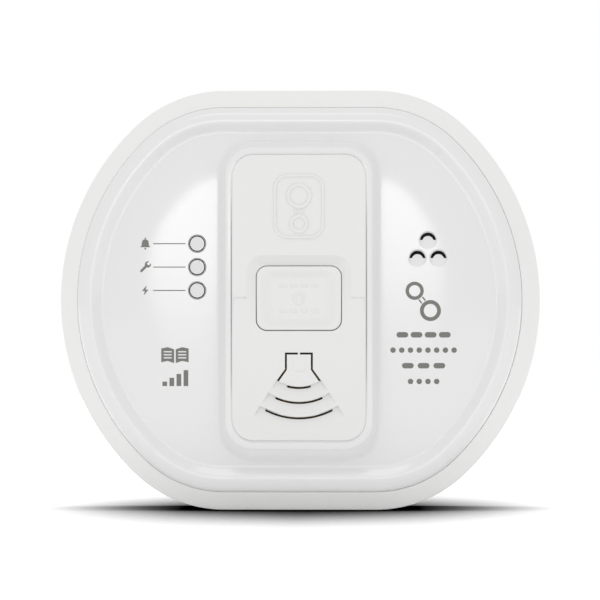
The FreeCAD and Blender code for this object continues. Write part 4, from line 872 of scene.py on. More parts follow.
class DETECTOR_OT_back_cover(bpy.types.Operator):
    """Make the matt back cover with its shoulder ring, side wall and plate pocket"""

    bl_idname = "detector.back_cover"
    bl_label = "Back cover"

    def execute(self, context):
        gap = context.scene.detector_sizes.parting_gap / MM
        land = PARTING_INSET - gap
        lip = PARTING_INSET + LAND_WIDTH
        out, deep = (part / math.hypot(*SHOULDER) for part in (SHOULDER[0], -SHOULDER[1]))
        # Each row: inset, depth, and how far the surface faces outwards and rearwards
        section = [
            (lip, LAND_Y, 0, -1), (land, LAND_Y, 0, -1), (land, LAND_Y, -1, 0), (land, -13.88, -1, 0),
            (land - 0.04, -13.95, -0.7, -0.7), (land - 0.14, -14.0, 0, -1), (land - 0.26, -13.93, 0.6, -0.8),
            (land - 0.4, -13.74, out, deep), (0.45, -8.57, out, deep),
            (0.25, -8.27, 0.87, -0.49), (0.1, -7.9, 0.96, -0.28), (0.0, -7.3, 1, 0),
            (0.0, REAR_Y - REAR_ROUNDING, 1, 0),
        ]
        for turn in range(15, 91, 15):
            across, back = math.cos(math.radians(turn)), math.sin(math.radians(turn))
            inset, depth = REAR_ROUNDING * (1 - across), REAR_Y - REAR_ROUNDING * (1 - back)
            section.append((inset, depth, across, back))
        shell = Shell()
        shell.add_skin(section)
        shell.add_skin([
            (WALL, FLOOR_Y, -1, 0), (WALL, -8.0, -1, 0),
            (WALL, -8.0, -out, -deep), (7.2, LAND_REAR_Y, -out, -deep),
            (7.2, LAND_REAR_Y, 0, -1), (lip, LAND_REAR_Y, 0, -1),
            (lip, LAND_REAR_Y, -1, 0), (lip, LAND_Y, -1, 0),
        ])
        seats = [(sx * SEAT_SPREAD[0], MIDDLE_Z + sz * SEAT_SPREAD[1]) for sx in (-1, 1) for sz in (-1, 1)]
        slots = [(x, foot - 2.5) for x, foot in HOOK_FEET]

        def rear(x, z):
            height = REAR_Y - POCKET_DEPTH * step((case_inset(x, z) - POCKET_INSET) / POCKET_STEP)
            for middle in seats:
                away = np.hypot(x - middle[0], z - middle[1])
                height = height - SEAT_DEPTH * inside_of(away - SEAT_RADIUS, 0.1)
            return height

        def in_slab(x, z, edge):
            kept = case_inset(x, z) > edge
            for middle in slots:
                kept &= box_distance(x, z, middle, HOOK_SLOT_HALF, 0.5) > 0
            for middle, radius in (PLUNGER_HOLE, *((seat, SEAT_HOLE) for seat in seats)):
                kept &= np.hypot(x - middle[0], z - middle[1]) > radius
            return kept

        insets = (REAR_ROUNDING, WALL, POCKET_INSET - 0.04, POCKET_INSET + 0.16)
        loops = [outline_loop(inset) for inset in insets]
        loops += [box_loop(middle, HOOK_SLOT_HALF, 0.5, 1.0, 3) for middle in slots]
        loops.append(circle_loop(*PLUNGER_HOLE, 24))
        radii = (SEAT_HOLE, SEAT_RADIUS - 0.05, SEAT_RADIUS + 0.05)
        loops += [circle_loop(middle, radius, 28) for middle in seats for radius in radii]
        free = grid_points((-60, 0), (60, 105), 3.0)
        free = free[case_inset(free[:, 0], free[:, 1]) > 10]
        points = cleared(free, loops, 0.8)
        shell.add_relief(
            loops, points, lambda x, z: in_slab(x, z, WALL), flat(FLOOR_Y), rear,
            lambda x, z: in_slab(x, z, REAR_ROUNDING),
        )
        piece = shell.build("back_cover_moulding", matt_white_abs(context))
        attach(piece, "housing")
        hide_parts("back_cover")
        return {"FINISHED"}


# Centre panel

EMBLEM_Z = 75.4
EMBLEM_HALF = (6.3, 8.0)
EMBLEM_CORNER = 3.6
EMBLEM_BAND = 0.35
ATOM_RINGS = (((0.0, EMBLEM_Z + 2.6), 2.7, 0.45), ((0.0, EMBLEM_Z - 4.3), 1.9, 0.45))
BOND_BARS = tuple(((sx * 0.75, EMBLEM_Z - 1.25), (0.3, 0.55)) for sx in (-1, 1))


PANEL_ROUNDING = 0.35
PANEL_SHIFTS = (0.0, -0.015, -0.05, -0.1, -0.18, -0.27, -0.36)
RECESS_SHIFTS = (0.3, 0.04, 0.0, -0.04, -0.3, -1.1, -1.7)
# Distances below an arc's upper edge that get a row of points, down to the end of its ramp
RAMP_ROWS = (-0.3, -0.06, 0.0, 0.06, 0.6, 1.2, 1.9, 2.5, 3.0, 3.1, 3.2)


def emblem_share(x, z):
    """1 on the panel's raised emblem: two rings joined by two bars, in a rounded frame."""
    inside = box_distance(x, z, (0, EMBLEM_Z), EMBLEM_HALF, EMBLEM_CORNER)
    frame_edge = np.abs(inside + EMBLEM_BAND) - EMBLEM_BAND
    share = inside_of(frame_edge, STEP_EDGE)
    for middle, radius, half_band in ATOM_RINGS:
        share = np.maximum(share, inside_of(ring_distance(x, z, middle, radius, half_band), STEP_EDGE))
    for middle, half in BOND_BARS:
        share = np.maximum(share, inside_of(box_distance(x, z, middle, half, 0.2), STEP_EDGE))
    return share


def emblem_loops():
    loops = []
    for shift in (0.3, *ACROSS_STEP):
        for inwards in (0, 2 * EMBLEM_BAND):
            if inwards and shift > STEP_EDGE:
                continue
            half = [size + shift - inwards for size in EMBLEM_HALF]
            loops.append(box_loop((0, EMBLEM_Z), half, EMBLEM_CORNER + shift - inwards, 0.4, 12))
    for ring in ATOM_RINGS:
        loops += ring_loops(*ring, 52)
    for middle, half in BOND_BARS:
        loops += box_loops(middle, half, 0.2, ACROSS_STEP, 0.3, 4)
    return loops


def polar(x, z):
    """Radius from the horn's middle, and the angle from straight down."""
    return np.hypot(x, z - HORN_Z), np.arctan2(x, HORN_Z - z)


def horn_point(radius, turn):
    """The place at a radius from the horn's middle and a turn from straight down."""
    return radius * math.sin(turn), HORN_Z - radius * math.cos(turn)


def sector_loop(inner, outer, half_angle, spacing=0.35):
    count = max(6, round(2 * half_angle * outer / spacing))
    turns = np.linspace(-half_angle, half_angle, count)
    return [horn_point(outer, turn) for turn in turns] + [horn_point(inner, turn) for turn in turns[::-1]]


def in_polygon(x, z, corners):
    inside = np.zeros(x.shape, bool)
    for (x0, z0), (x1, z1) in zip(corners, corners[1:] + corners[:1]):
        crosses = (z0 > z) != (z1 > z)
        inside ^= crosses & (x < (x1 - x0) * (z - z0) / (z1 - z0 + 1e-12) + x0)
    return inside


def recess_distance(x, z):
    """Distance to the crease round the button's recess, which is open at its foot."""
    foot = RECESS_FOOT - 2 * RECESS_CORNER
    half = (RECESS_HALF, (RECESS_TOP - foot) / 2)
    return box_distance(x, z, (0, (RECESS_TOP + foot) / 2), half, RECESS_CORNER)


def panel_height(x, z, emblem_relief):
    height = arch(z)
    lean = np.clip((z - RECESS_FOOT) / (RECESS_TOP - RECESS_FOOT), 0, 1)
    recess = RECESS_DEPTH * lean * np.clip(-recess_distance(x, z) / BEZEL_WIDTH, 0, 1)
    notch_lean = np.clip((z - NOTCH_FOOT) / (NOTCH_TOP - NOTCH_FOOT), 0, 1)
    beside = inside_of(np.abs(x) - NOTCH_OUTER, STEP_EDGE) * (np.abs(x) > RECESS_HALF - 1.0)
    notch = NOTCH_DEPTH * notch_lean * beside * inside_of(z - NOTCH_TOP, STEP_EDGE)
    height = height + np.maximum(recess, notch)
    radius, turn = polar(x, z)
    flank = (ARC_HALF_SECTOR - np.abs(turn)) * radius
    for start in ARC_RADII:
        along = radius - start
        ramp = ARC_DEPTH * np.clip(1 - along / ARC_RAMP, 0, 1) * step(along / STEP_EDGE + 0.5)
        height = height + ramp * step(flank / STEP_EDGE + 0.5)
    height = height - emblem_relief * emblem_share(x, z)
    height = height - NECK_PAD_RELIEF * inside_of(box_distance(x, z, *NECK_PAD), STEP_EDGE)
    return rounded_over(height, box_distance(x, z, (0, PANEL_Z), PANEL_HALF, PANEL_CORNER), PANEL_ROUNDING)


class DETECTOR_OT_centre_panel(bpy.types.Operator):
    """Make the satin centre panel with the button recess, notches, emblem and sounder grille"""

    bl_idname = "detector.centre_panel"
    bl_label = "Centre panel"

    def execute(self, context):
        relief = context.scene.detector_sizes.emblem_height / MM
        loops = box_loops((0, PANEL_Z), PANEL_HALF, PANEL_CORNER, PANEL_SHIFTS, 0.8, 12)
        loops.append(box_loop((0, BUTTON_Z), HOLE_HALF, HOLE_CORNER, 0.7, 10))
        recess_foot = RECESS_FOOT - 1.0
        middle_z = (RECESS_TOP + recess_foot) / 2
        for shift in RECESS_SHIFTS:
            half = (RECESS_HALF + shift, (RECESS_TOP - recess_foot) / 2 + shift)
            loops.append(box_loop((0, middle_z), half, max(RECESS_CORNER + shift, 0.5), 0.6, 14))
        loops += box_loops((0, BUTTON_Z), HOLE_HALF, HOLE_CORNER, (0.25,), 0.5, 12)
        slots = [sector_loop(radius, radius + ARC_SLOT, span) for radius, span in zip(ARC_RADII, ARC_SPANS)]
        slots += [[*NECK_SLOT], [(-x, z) for x, z in NECK_SLOT][::-1]]
        loops += [resampled(slot, 0.4) if len(slot) < 10 else slot for slot in slots]
        loops += emblem_loops() + box_loops(*NECK_PAD, ACROSS_STEP, 0.4, 4)
        extra = []
        for radius in ARC_RADII:
            turns = np.linspace(-ARC_HALF_SECTOR, ARC_HALF_SECTOR, 60)
            extra += [horn_point(radius + along, turn) for along in RAMP_ROWS for turn in turns]
            flanks = [side * (ARC_HALF_SECTOR + shift / radius) for side in (-1, 1) for shift in ACROSS_STEP]
            rows = np.linspace(0, ARC_RAMP, 12)
            extra += [horn_point(radius + along, turn) for along in rows for turn in flanks]
        for side in (-1, 1):
            for shift in (0.3, *ACROSS_STEP, -0.3):
                notch_x = np.arange(RECESS_HALF + 0.12, NOTCH_OUTER + shift, 0.22)
                extra += [(side * x, NOTCH_TOP + shift) for x in notch_x]
                notch_z = np.arange(NOTCH_FOOT, NOTCH_TOP + shift, 0.26)
                extra += [(side * (NOTCH_OUTER + shift), z) for z in notch_z]
        free = grid_points((-16.4, 17.6), (16.4, 88.2), 0.58)
        free = free[box_distance(free[:, 0], free[:, 1], (0, PANEL_Z), PANEL_HALF, PANEL_CORNER) < -0.5]
        clear_of = loops + [extra]
        points = cleared(free, clear_of, 0.22) + cleared(extra, loops, 0.04)

        def inside(x, z):
            kept = box_distance(x, z, (0, PANEL_Z), PANEL_HALF, PANEL_CORNER) < 0
            kept &= box_distance(x, z, (0, BUTTON_Z), HOLE_HALF, HOLE_CORNER) > 0
            for slot in slots:
                kept &= ~in_polygon(x, z, slot)
            return kept

        shell = Shell()
        shell.add_relief(loops, points, inside, lambda x, z: panel_height(x, z, relief), flat(LEDGE_Y))
        piece = shell.build("centre_panel_moulding", satin_white_abs(context))
        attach(piece, "housing")
        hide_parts("centre_panel")
        return {"FINISHED"}


# Test button

MARK_BARS = tuple(
    ((column * 2.6, BUTTON_Z + row), (0.85, 0.3))
    for column in (-1.5, -0.5, 0.5, 1.5) for row in (-3.1, 3.1)
)
MARK_CORNER = 0.28
MARK_RING = ((0.0, BUTTON_Z), 1.25, 0.25)
BUTTON_ROUNDING = 0.3
BUTTON_SHIFTS = (0.0, -0.015, -0.05, -0.1, -0.16, -0.23, -0.31)
BUTTON_REAR_Y = -18.7
# The flange that holds the button behind the panel, and the stem that presses the switch
FLANGE_HALF = (12.15, 9.6)
FLANGE_CORNER = 3.8
FLANGE_Y = (-19.7, -18.5)
STEM_RADIUS = 3.0
STEM_Y = (-19.0, -0.95)


def button_height(x, z, mark_relief):
    lengthwise = 1 - step((np.abs(x) - DISH_FLAT[0]) / DISH_SLOPE[0])
    upright = 1 - step((np.abs(z - BUTTON_Z) - DISH_FLAT[1]) / DISH_SLOPE[1])
    height = BUTTON_Y + DISH_DEPTH * lengthwise * upright
    share = inside_of(ring_distance(x, z, *MARK_RING), STEP_EDGE)
    for middle, half in MARK_BARS:
        share = np.maximum(share, inside_of(box_distance(x, z, middle, half, MARK_CORNER), STEP_EDGE))
    edge = box_distance(x, z, (0, BUTTON_Z), BUTTON_HALF, BUTTON_CORNER)
    return rounded_over(height - mark_relief * share, edge, BUTTON_ROUNDING)


class DETECTOR_OT_test_button(bpy.types.Operator):
    """Make the dished test button with its raised grip marks"""

    bl_idname = "detector.test_button"
    bl_label = "Test button"

    def execute(self, context):
        relief = context.scene.detector_sizes.mark_height / MM
        loops = box_loops((0, BUTTON_Z), BUTTON_HALF, BUTTON_CORNER, BUTTON_SHIFTS, 0.6, 10)
        loops += ring_loops(*MARK_RING, 40)
        for middle, half in MARK_BARS:
            loops += box_loops(middle, half, MARK_CORNER, ACROSS_STEP, 0.4, 5)
        free = grid_points((-10.2, BUTTON_Z - 7.6), (10.2, BUTTON_Z + 7.6), 0.4)
        points = cleared(free, loops, 0.15)
        shell = Shell()
        shell.add_relief(
            loops, points,
            lambda x, z: box_distance(x, z, (0, BUTTON_Z), BUTTON_HALF, BUTTON_CORNER) < 0,
            lambda x, z: button_height(x, z, relief), flat(BUTTON_REAR_Y),
        )
        stem = circle_loop((0, BUTTON_Z), STEM_RADIUS, 32)
        shell.add_relief(
            [box_loop((0, BUTTON_Z), FLANGE_HALF, FLANGE_CORNER, 1.5, 8), stem], [],
            lambda x, z: box_distance(x, z, (0, BUTTON_Z), FLANGE_HALF, FLANGE_CORNER) < 0,
            flat(FLANGE_Y[0]), flat(FLANGE_Y[1]),
        )
        shell.add_relief(
            [stem], [(0, BUTTON_Z)], lambda x, z: np.hypot(x, z - BUTTON_Z) < STEM_RADIUS,
            flat(STEM_Y[0]), flat(STEM_Y[1]),
        )
        piece = shell.build("test_button_moulding", satin_white_abs(context))
        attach(piece, "button")
        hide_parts("test_button")
        return {"FINISHED"}


# Symbols printed on the front cover, in place of words

PRINT_LINE = 0.24
# The thin printed ring round each light, as distances from the light's hole
LIGHT_RING = (0.06, 0.22)
LEGEND_X = -38.2
READ_ME = (-30.8, 38.6)
SIGNAL_FOOT = (-30.8, 31.0)
ATOMS = (((28.6, 54.6), 2.25, 1.4), ((32.5, 49.7), 2.6, 1.65))
PULSE_ROWS = (
    # count, pitch, length of one mark, height of the row
    (4, 3.5, 2.9, 43.7),
    (8, 2.16, 1.35, 39.9),
    (3, 3.9, 2.9, 36.05),
    (4, 2.16, 1.35, 32.15),
)
PULSE_X = 30.8
PULSE_HEIGHT = 1.35


def arc_points(middle, radius, start, end, count):
    """Points along an arc, with angles in degrees."""
    return [
        (middle[0] + radius * math.cos(math.radians(t)), middle[1] + radius * math.sin(math.radians(t)))
        for t in np.linspace(start, end, count)
    ]


def moved(corners, place, turn=0.0):
    c, s = math.cos(math.radians(turn)), math.sin(math.radians(turn))
    return [(place[0] + c * x - s * z, place[1] + s * x + c * z) for x, z in corners]


def bar(left, foot, right, top):
    return [(left, foot), (right, foot), (right, top), (left, top)]


def bell_symbol(place):
    """A bell, for the alarm light."""
    dome = arc_points((0, 0.25), 0.85, 0, 180, 14)
    body = [(-1.25, -0.85), (1.25, -0.85), (0.9, -0.4), *dome, (-0.9, -0.4)]
    knob = arc_points((0, 1.32), 0.2, 0, 330, 10)
    clapper = arc_points((0, -1.2), 0.24, 0, 330, 10)
    return [moved(part, place) for part in (body, knob, clapper)]


def spanner_symbol(place):
    """An open-ended spanner, for the fault light."""
    head = (0.0, 0.95)
    right = arc_points(head, 0.78, -67, 64, 12)
    left = arc_points(head, 0.78, 116, 247, 12)
    foot = arc_points((0, -1.35), 0.3, 180, 360, 8)
    return [moved(foot + right + [(0.33, 0.85), (-0.33, 0.85)] + left, place, -45)]


def bolt_symbol(place):
    """A lightning bolt, for the power light."""
    corners = [(0.35, 1.25), (-0.8, -0.12), (-0.1, -0.12), (-0.35, -1.25), (0.8, 0.2), (0.1, 0.2)]
    return [moved(corners, place)]


def book_symbol(place):
    """An open book with ruled pages, which asks for the instructions to be read."""
    shapes = []
    for side in (-1, 1):
        page = [(3.4, 1.7), (1.8, 2.05), (0.2, 1.5), (0.2, -1.9), (1.8, -1.35), (3.4, -1.7)]
        lines = [bar(0.8, row, 2.8, row + 0.3) for row in (0.75, 0.0, -0.75)]
        shapes += [moved([(side * x, z) for x, z in part], place) for part in (page, *lines)]
    return shapes


def signal_symbol(place):
    """Four rising bars."""
    pitch, width, lowest, rise = 1.75, 1.15, 1.1, 0.95
    bars = [bar(pitch * n - 3.1, 0, pitch * n - 3.1 + width, lowest + rise * n) for n in range(4)]
    return [moved(corners, place) for corners in bars]


def atoms_symbol():
    """Two joined rings, a small one and a larger one, like a two-atom molecule."""
    shapes = [circle_loop(middle, radius, 56) for middle, *radii in ATOMS for radius in radii]
    (here, near, _), (there, far, _) = ATOMS
    turn = math.degrees(math.atan2(there[1] - here[1], there[0] - here[0]))
    reach = math.dist(here, there)
    for side in (-0.55, 0.55):
        shapes.append(moved(bar(near + 0.12, side - 0.18, reach - far - 0.12, side + 0.18), here, turn))
    return shapes


class DETECTOR_OT_printed_symbols(bpy.types.Operator):
    """Print the symbols for the lights, the instructions and the gas on the front cover"""

    bl_idname = "detector.printed_symbols"
    bl_label = "Printed symbols"

    def execute(self, context):
        thick = context.scene.detector_sizes.print_height / MM
        shapes = []
        for (light_x, light_z), symbol in zip(LIGHTS, (bolt_symbol, spanner_symbol, bell_symbol)):
            shapes += symbol((LEGEND_X, light_z))
            half = PRINT_LINE / 2
            shapes.append(bar(LEGEND_X + 2.0, light_z - half, light_x - 2.9, light_z + half))
        shapes += book_symbol(READ_ME) + signal_symbol(SIGNAL_FOOT) + atoms_symbol()
        loops = [resampled(shape, 0.5) for shape in shapes]
        for light in LIGHTS:
            loops += [circle_loop(light, LIGHT_RADIUS + away, 48) for away in LIGHT_RING]

        def inked(x, z):
            inside = np.zeros(x.shape, bool)
            for loop in loops:
                inside ^= in_polygon(x, z, loop)
            return inside

        shell = Shell()
        shell.add_relief(
            loops, [], inked,
            lambda x, z: cover_height(x, z) - thick, lambda x, z: cover_height(x, z) + thick,
        )
        piece = shell.build("printed_symbols", screen_ink(context))
        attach(piece, "housing")
        return {"FINISHED"}


def named_inputs(tree, inputs):
    """Give a node tree its inputs by name, and return its input node and each input's identifier."""
    identifiers = {}
    for name, kind, value in inputs:
        socket = tree.interface.new_socket(name, in_out="INPUT", socket_type=kind)
        identifiers[name] = socket.identifier
        if value is not None:
            socket.default_value = value
    tree.interface.new_socket("Geometry", in_out="OUTPUT", socket_type="NodeSocketGeometry")
    return add_node(tree, "NodeGroupInput"), identifiers


def grown_mesh(tree, identifiers, settings):
    """The plain mesh that a node tree makes with these settings, keyed by input name."""
    seed = bpy.data.objects.new("seed", bpy.data.meshes.new("seed"))
    bpy.context.scene.collection.objects.link(seed)
    grower = seed.modifiers.new("grow", "NODES")
    grower.node_group = tree
    for name, setting in settings.items():
        grower[identifiers[name]] = setting
    graph = bpy.context.evaluated_depsgraph_get()
    mesh = bpy.data.meshes.new_from_object(seed.evaluated_get(graph))
    seed.modifiers.remove(grower)
    bpy.data.objects.remove(seed)
    return mesh


def finish_tree(tree, geometry, material):
    """End a node tree in plain geometry with its material."""
    real = add_node(tree, "GeometryNodeRealizeInstances", [("Geometry", geometry)])
    finished = add_node(tree, "GeometryNodeSetMaterial", [
        ("Geometry", real.outputs[0]), ("Material", material),
    ])
    add_node(tree, "NodeGroupOutput", [("Geometry", finished.outputs[0])])


def joined_piece(name, meshes, material, smooth=False):
    """One object from several meshes, with its doubles merged."""
    joined = bmesh.new()
    for mesh in meshes:
        joined.from_mesh(mesh)
    bmesh.ops.remove_doubles(joined, verts=joined.verts, dist=0.001 * MM)
    bmesh.ops.recalc_face_normals(joined, faces=joined.faces)
    mesh = bpy.data.meshes.new(name)
    joined.to_mesh(mesh)
    joined.free()
    mesh.materials.clear()
    mesh.materials.append(material)
    for face in mesh.polygons:
        face.material_index = 0
        face.use_smooth = smooth or face.use_smooth
    piece = bpy.data.objects.new(name, mesh)
    bpy.context.scene.collection.objects.link(piece)
    return piece


def pulse_tree(material):
    """A row of rounded marks along X: a rectangle with round ends, filled, thickened and repeated."""
    tree = bpy.data.node_groups.new("pulse_row", "GeometryNodeTree")
    given, identifiers = named_inputs(tree, (
        ("Count", "NodeSocketInt", 4), ("Pitch", "NodeSocketFloat", 0.003),
        ("Length", "NodeSocketFloat", 0.003), ("Height", "NodeSocketFloat", 0.001),
        ("Thickness", "NodeSocketFloat", 0.0001),
        ("First", "NodeSocketVector", None),
    ))
    mark = add_node(tree, "GeometryNodeCurvePrimitiveQuadrilateral", [
        ("Width", given.outputs["Length"]), ("Height", given.outputs["Height"]),
    ])
    round_end = maths(tree, "MULTIPLY", given.outputs["Height"], 0.495)
    rounded = add_node(tree, "GeometryNodeFilletCurve", [
        ("Curve", mark.outputs[0]), ("Radius", round_end), ("Count", 6),
    ], mode="POLY")
    face = add_node(tree, "GeometryNodeFillCurve", [("Curve", rounded.outputs[0])], mode="NGONS")
    raised = add_node(tree, "GeometryNodeExtrudeMesh", [
        ("Mesh", face.outputs[0]), ("Offset Scale", given.outputs["Thickness"]),
    ])
    under = add_node(tree, "GeometryNodeFlipFaces", [("Mesh", face.outputs[0])])
    solid = add_node(tree, "GeometryNodeJoinGeometry", [("Geometry", raised.outputs["Mesh"])])
    tree.links.new(under.outputs[0], solid.inputs[0])
    step_along = add_node(tree, "ShaderNodeCombineXYZ", [("X", given.outputs["Pitch"])])
    row = add_node(tree, "GeometryNodeMeshLine", [
        ("Count", given.outputs["Count"]), ("Start Location", given.outputs["First"]),
        ("Offset", step_along.outputs[0]),
    ])
    marks = add_node(tree, "GeometryNodeInstanceOnPoints", [
        ("Points", row.outputs[0]), ("Instance", solid.outputs[0]), ("Rotation", (math.pi / 2, 0, 0)),
    ])
    finish_tree(tree, marks.outputs[0], material)
    return tree, identifiers


class DETECTOR_OT_pulse_marks(bpy.types.Operator):
    """Print the four rows of long and short marks that stand for the sounder's signals"""

    bl_idname = "detector.pulse_marks"
    bl_label = "Pulse marks"

    def execute(self, context):
        material = screen_ink(context)
        thick = context.scene.detector_sizes.print_height
        tree, identifiers = pulse_tree(material)
        meshes = []
        for count, pitch, length, height_z in PULSE_ROWS:
            first = PULSE_X - pitch * (count - 1) / 2
            meshes.append(grown_mesh(tree, identifiers, {
                "Count": count, "Pitch": pitch * MM, "Length": length * MM, "Height": PULSE_HEIGHT * MM,
                "Thickness": 2 * thick, "First": (first * MM, 0.0, height_z * MM),
            }))
        piece = joined_piece("pulse_marks", meshes, material)
        places = np.array([tuple(vertex.co) for vertex in piece.data.vertices])
        surface = cover_height(places[:, 0] / MM, places[:, 2] / MM) * MM
        for vertex, y in zip(piece.data.vertices, surface):
            vertex.co.y += y + thick
        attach(piece, "housing")
        return {"FINISHED"}


# Dust screen


def screen_tree(material):
    """A woven disc: straight wires cut to the disc's chords, then waved over and under each other."""
    tree = bpy.data.node_groups.new("woven_disc", "GeometryNodeTree")
    given, identifiers = named_inputs(tree, (
        ("Radius", "NodeSocketFloat", 0.008), ("Pitch", "NodeSocketFloat", 0.0006),
        ("Wire", "NodeSocketFloat", 0.0001), ("Count", "NodeSocketInt", 25),
        ("Middle", "NodeSocketVector", None),
    ))

    radius, spacing, thickness = (given.outputs[name] for name in ("Radius", "Pitch", "Wire"))
    half_span = maths(tree, "MULTIPLY", maths(tree, "SUBTRACT", given.outputs["Count"], 1.0), spacing)
    start = add_node(tree, "ShaderNodeCombineXYZ", [("Y", maths(tree, "MULTIPLY", half_span, -0.5))])
    pitch = add_node(tree, "ShaderNodeCombineXYZ", [("Y", given.outputs["Pitch"])])
    row = add_node(tree, "GeometryNodeMeshLine", [
        ("Count", given.outputs["Count"]), ("Start Location", start.outputs[0]), ("Offset", pitch.outputs[0]),
    ])
    straight = add_node(tree, "GeometryNodeCurvePrimitiveLine", [("Start", (-1, 0, 0)), ("End", (1, 0, 0))])
    place = add_node(tree, "GeometryNodeInputPosition")
    apart = add_node(tree, "ShaderNodeSeparateXYZ", [(0, place.outputs[0])])
    across, along = apart.outputs["X"], apart.outputs["Y"]
    squared = maths(tree, "SUBTRACT", maths(tree, "POWER", radius, 2.0), maths(tree, "POWER", along, 2.0))
    chord = maths(tree, "SQRT", maths(tree, "MAXIMUM", squared, 1e-8))
    scale = add_node(tree, "ShaderNodeCombineXYZ", [("X", chord), ("Y", 1.0), ("Z", 1.0)])
    wires = add_node(tree, "GeometryNodeInstanceOnPoints", [
        ("Points", row.outputs[0]), ("Instance", straight.outputs[0]), ("Scale", scale.outputs[0]),
    ])
    real_wires = add_node(tree, "GeometryNodeRealizeInstances", [("Geometry", wires.outputs[0])])
    fine = add_node(tree, "GeometryNodeResampleCurve", [
        ("Curve", real_wires.outputs[0]), ("Length", maths(tree, "MULTIPLY", spacing, 0.25)),
    ], mode="LENGTH")
    shares = (maths(tree, "DIVIDE", part, spacing) for part in (across, along))
    turns = (maths(tree, "MULTIPLY", share, math.pi) for share in shares)
    wave = maths(tree, "MULTIPLY", *(maths(tree, "COSINE", turn) for turn in turns))
    lifted = add_node(tree, "ShaderNodeCombineXYZ", [("Z", maths(tree, "MULTIPLY", wave, thickness))])
    waved = add_node(tree, "GeometryNodeSetPosition", [
        ("Geometry", fine.outputs[0]), ("Offset", lifted.outputs[0]),
    ])
    section = add_node(tree, "GeometryNodeCurvePrimitiveCircle", [("Resolution", 5), ("Radius", thickness)])
    weft = add_node(tree, "GeometryNodeCurveToMesh", [
        ("Curve", waved.outputs[0]), ("Profile Curve", section.outputs[0]), ("Fill Caps", True),
    ])
    # The other set of wires is the same one, turned a quarter and flipped, so that it passes under
    warp = add_node(tree, "GeometryNodeTransform", [
        ("Geometry", weft.outputs[0]), ("Rotation", (math.pi, 0, math.pi / 2)),
    ])
    both = add_node(tree, "GeometryNodeJoinGeometry", [("Geometry", weft.outputs[0])])
    tree.links.new(warp.outputs[0], both.inputs[0])
    placed = add_node(tree, "GeometryNodeTransform", [
        ("Geometry", both.outputs[0]), ("Translation", given.outputs["Middle"]),
        ("Rotation", (math.pi / 2, 0, 0)),
    ])
    finish_tree(tree, placed.outputs[0], material)
    return tree, identifiers


class DETECTOR_OT_dust_screen(bpy.types.Operator):
    """Weave the wire screen behind the gas inlets"""

    bl_idname = "detector.dust_screen"
    bl_label = "Dust screen"

    def execute(self, context):
        low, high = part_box("dust_screen")
        wire = (high.y - low.y) / 4
        # The screen's near-black wire is painted shade, seen through the gas inlets
        material = oxidised_steel_wire()
        tree, identifiers = screen_tree(material)
        mesh = grown_mesh(tree, identifiers, {
            "Radius": (high.x - low.x) / 2 - wire, "Pitch": 0.7 * MM, "Wire": wire, "Count": 25,
            "Middle": tuple((low + high) / 2),
        })
        piece = joined_piece("dust_screen_weave", [mesh], material, smooth=True)
        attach(piece, "housing")
        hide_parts("dust_screen")
        return {"FINISHED"}


# Case screws

SCREW_HEAD_Y = 18.1
SCREW_TIP_Y = -3.8
SCREW_HEAD_RADIUS = 2.8
SCREW_HEAD_HEIGHT = 1.9
SCREW_CORE = 1.2
SCREW_CREST = 1.45
SCREW_PITCH = 1.1
CROSS_HALF = (1.55, 0.32)


def screw_mesh():
    """One pan-head screw along Y with a cross recess and rounded threads, its head's top at the origin."""
    shell = Shell()

    def head(x, z):
        away = np.hypot(x, z)
        crown = -0.75 * step((away - 0.9) / (SCREW_HEAD_RADIUS - 0.9))
        bars = (CROSS_HALF, CROSS_HALF[::-1])
        cross = np.minimum(*(box_distance(x, z, (0, 0), half, 0.05) for half in bars))
        return crown - 1.0 * inside_of(cross, 0.16) * np.clip(1.25 - away / 1.9, 0, 1)

    loops = [circle_loop((0, 0), radius, 48) for radius in (SCREW_HEAD_RADIUS, 2.6, 2.2, 1.9)]
    extra = []
    for shift in (0.08, 0.0, -0.08):
        for half in (CROSS_HALF, CROSS_HALF[::-1]):
            extra += box_loop((0, 0), [size + shift for size in half], 0.1, 0.16, 2)
    free = grid_points((-1.8, -1.8), (1.8, 1.8), 0.28)
    free = free[np.hypot(free[:, 0], free[:, 1]) < 1.75]
    points = cleared(free, [extra], 0.12) + extra
    shell.add_relief(
        loops, points, lambda x, z: np.hypot(x, z) < SCREW_HEAD_RADIUS, flat(-SCREW_HEAD_HEIGHT), head,
    )
    length = SCREW_HEAD_Y - SCREW_TIP_Y
    turns, around = int((length - 4.5) / SCREW_PITCH * 4), 20
    rows = [(SCREW_CORE, -SCREW_HEAD_HEIGHT), (SCREW_CORE, -3.0)]
    rows += [(SCREW_CREST if n % 4 == 2 else SCREW_CORE, -3.0 - n * SCREW_PITCH / 4) for n in range(turns)]
    rows += [(SCREW_CORE * 0.8, 0.9 - length), (0.02, -length)]
    for (r0, y0), (r1, y1) in zip(rows, rows[1:]):
        lean = np.array((y0 - y1, r0 - r1))
        lean /= max(np.linalg.norm(lean), 1e-9)
        for n in range(around):
            t0, t1 = (2 * math.pi * k / around for k in (n, n + 1))
            corners = [
                (r0 * math.cos(t0), y0, r0 * math.sin(t0)), (r0 * math.cos(t1), y0, r0 * math.sin(t1)),
                (r1 * math.cos(t1), y1, r1 * math.sin(t1)), (r1 * math.cos(t0), y1, r1 * math.sin(t0)),
            ]
            normals = [(lean[0] * math.cos(t), -lean[1], lean[0] * math.sin(t)) for t in (t0, t1, t1, t0)]
            shell.add(corners, [(3, 2, 1, 0)], normals[::-1])
    return shell.build("case_screw", zinc_plated_steel())


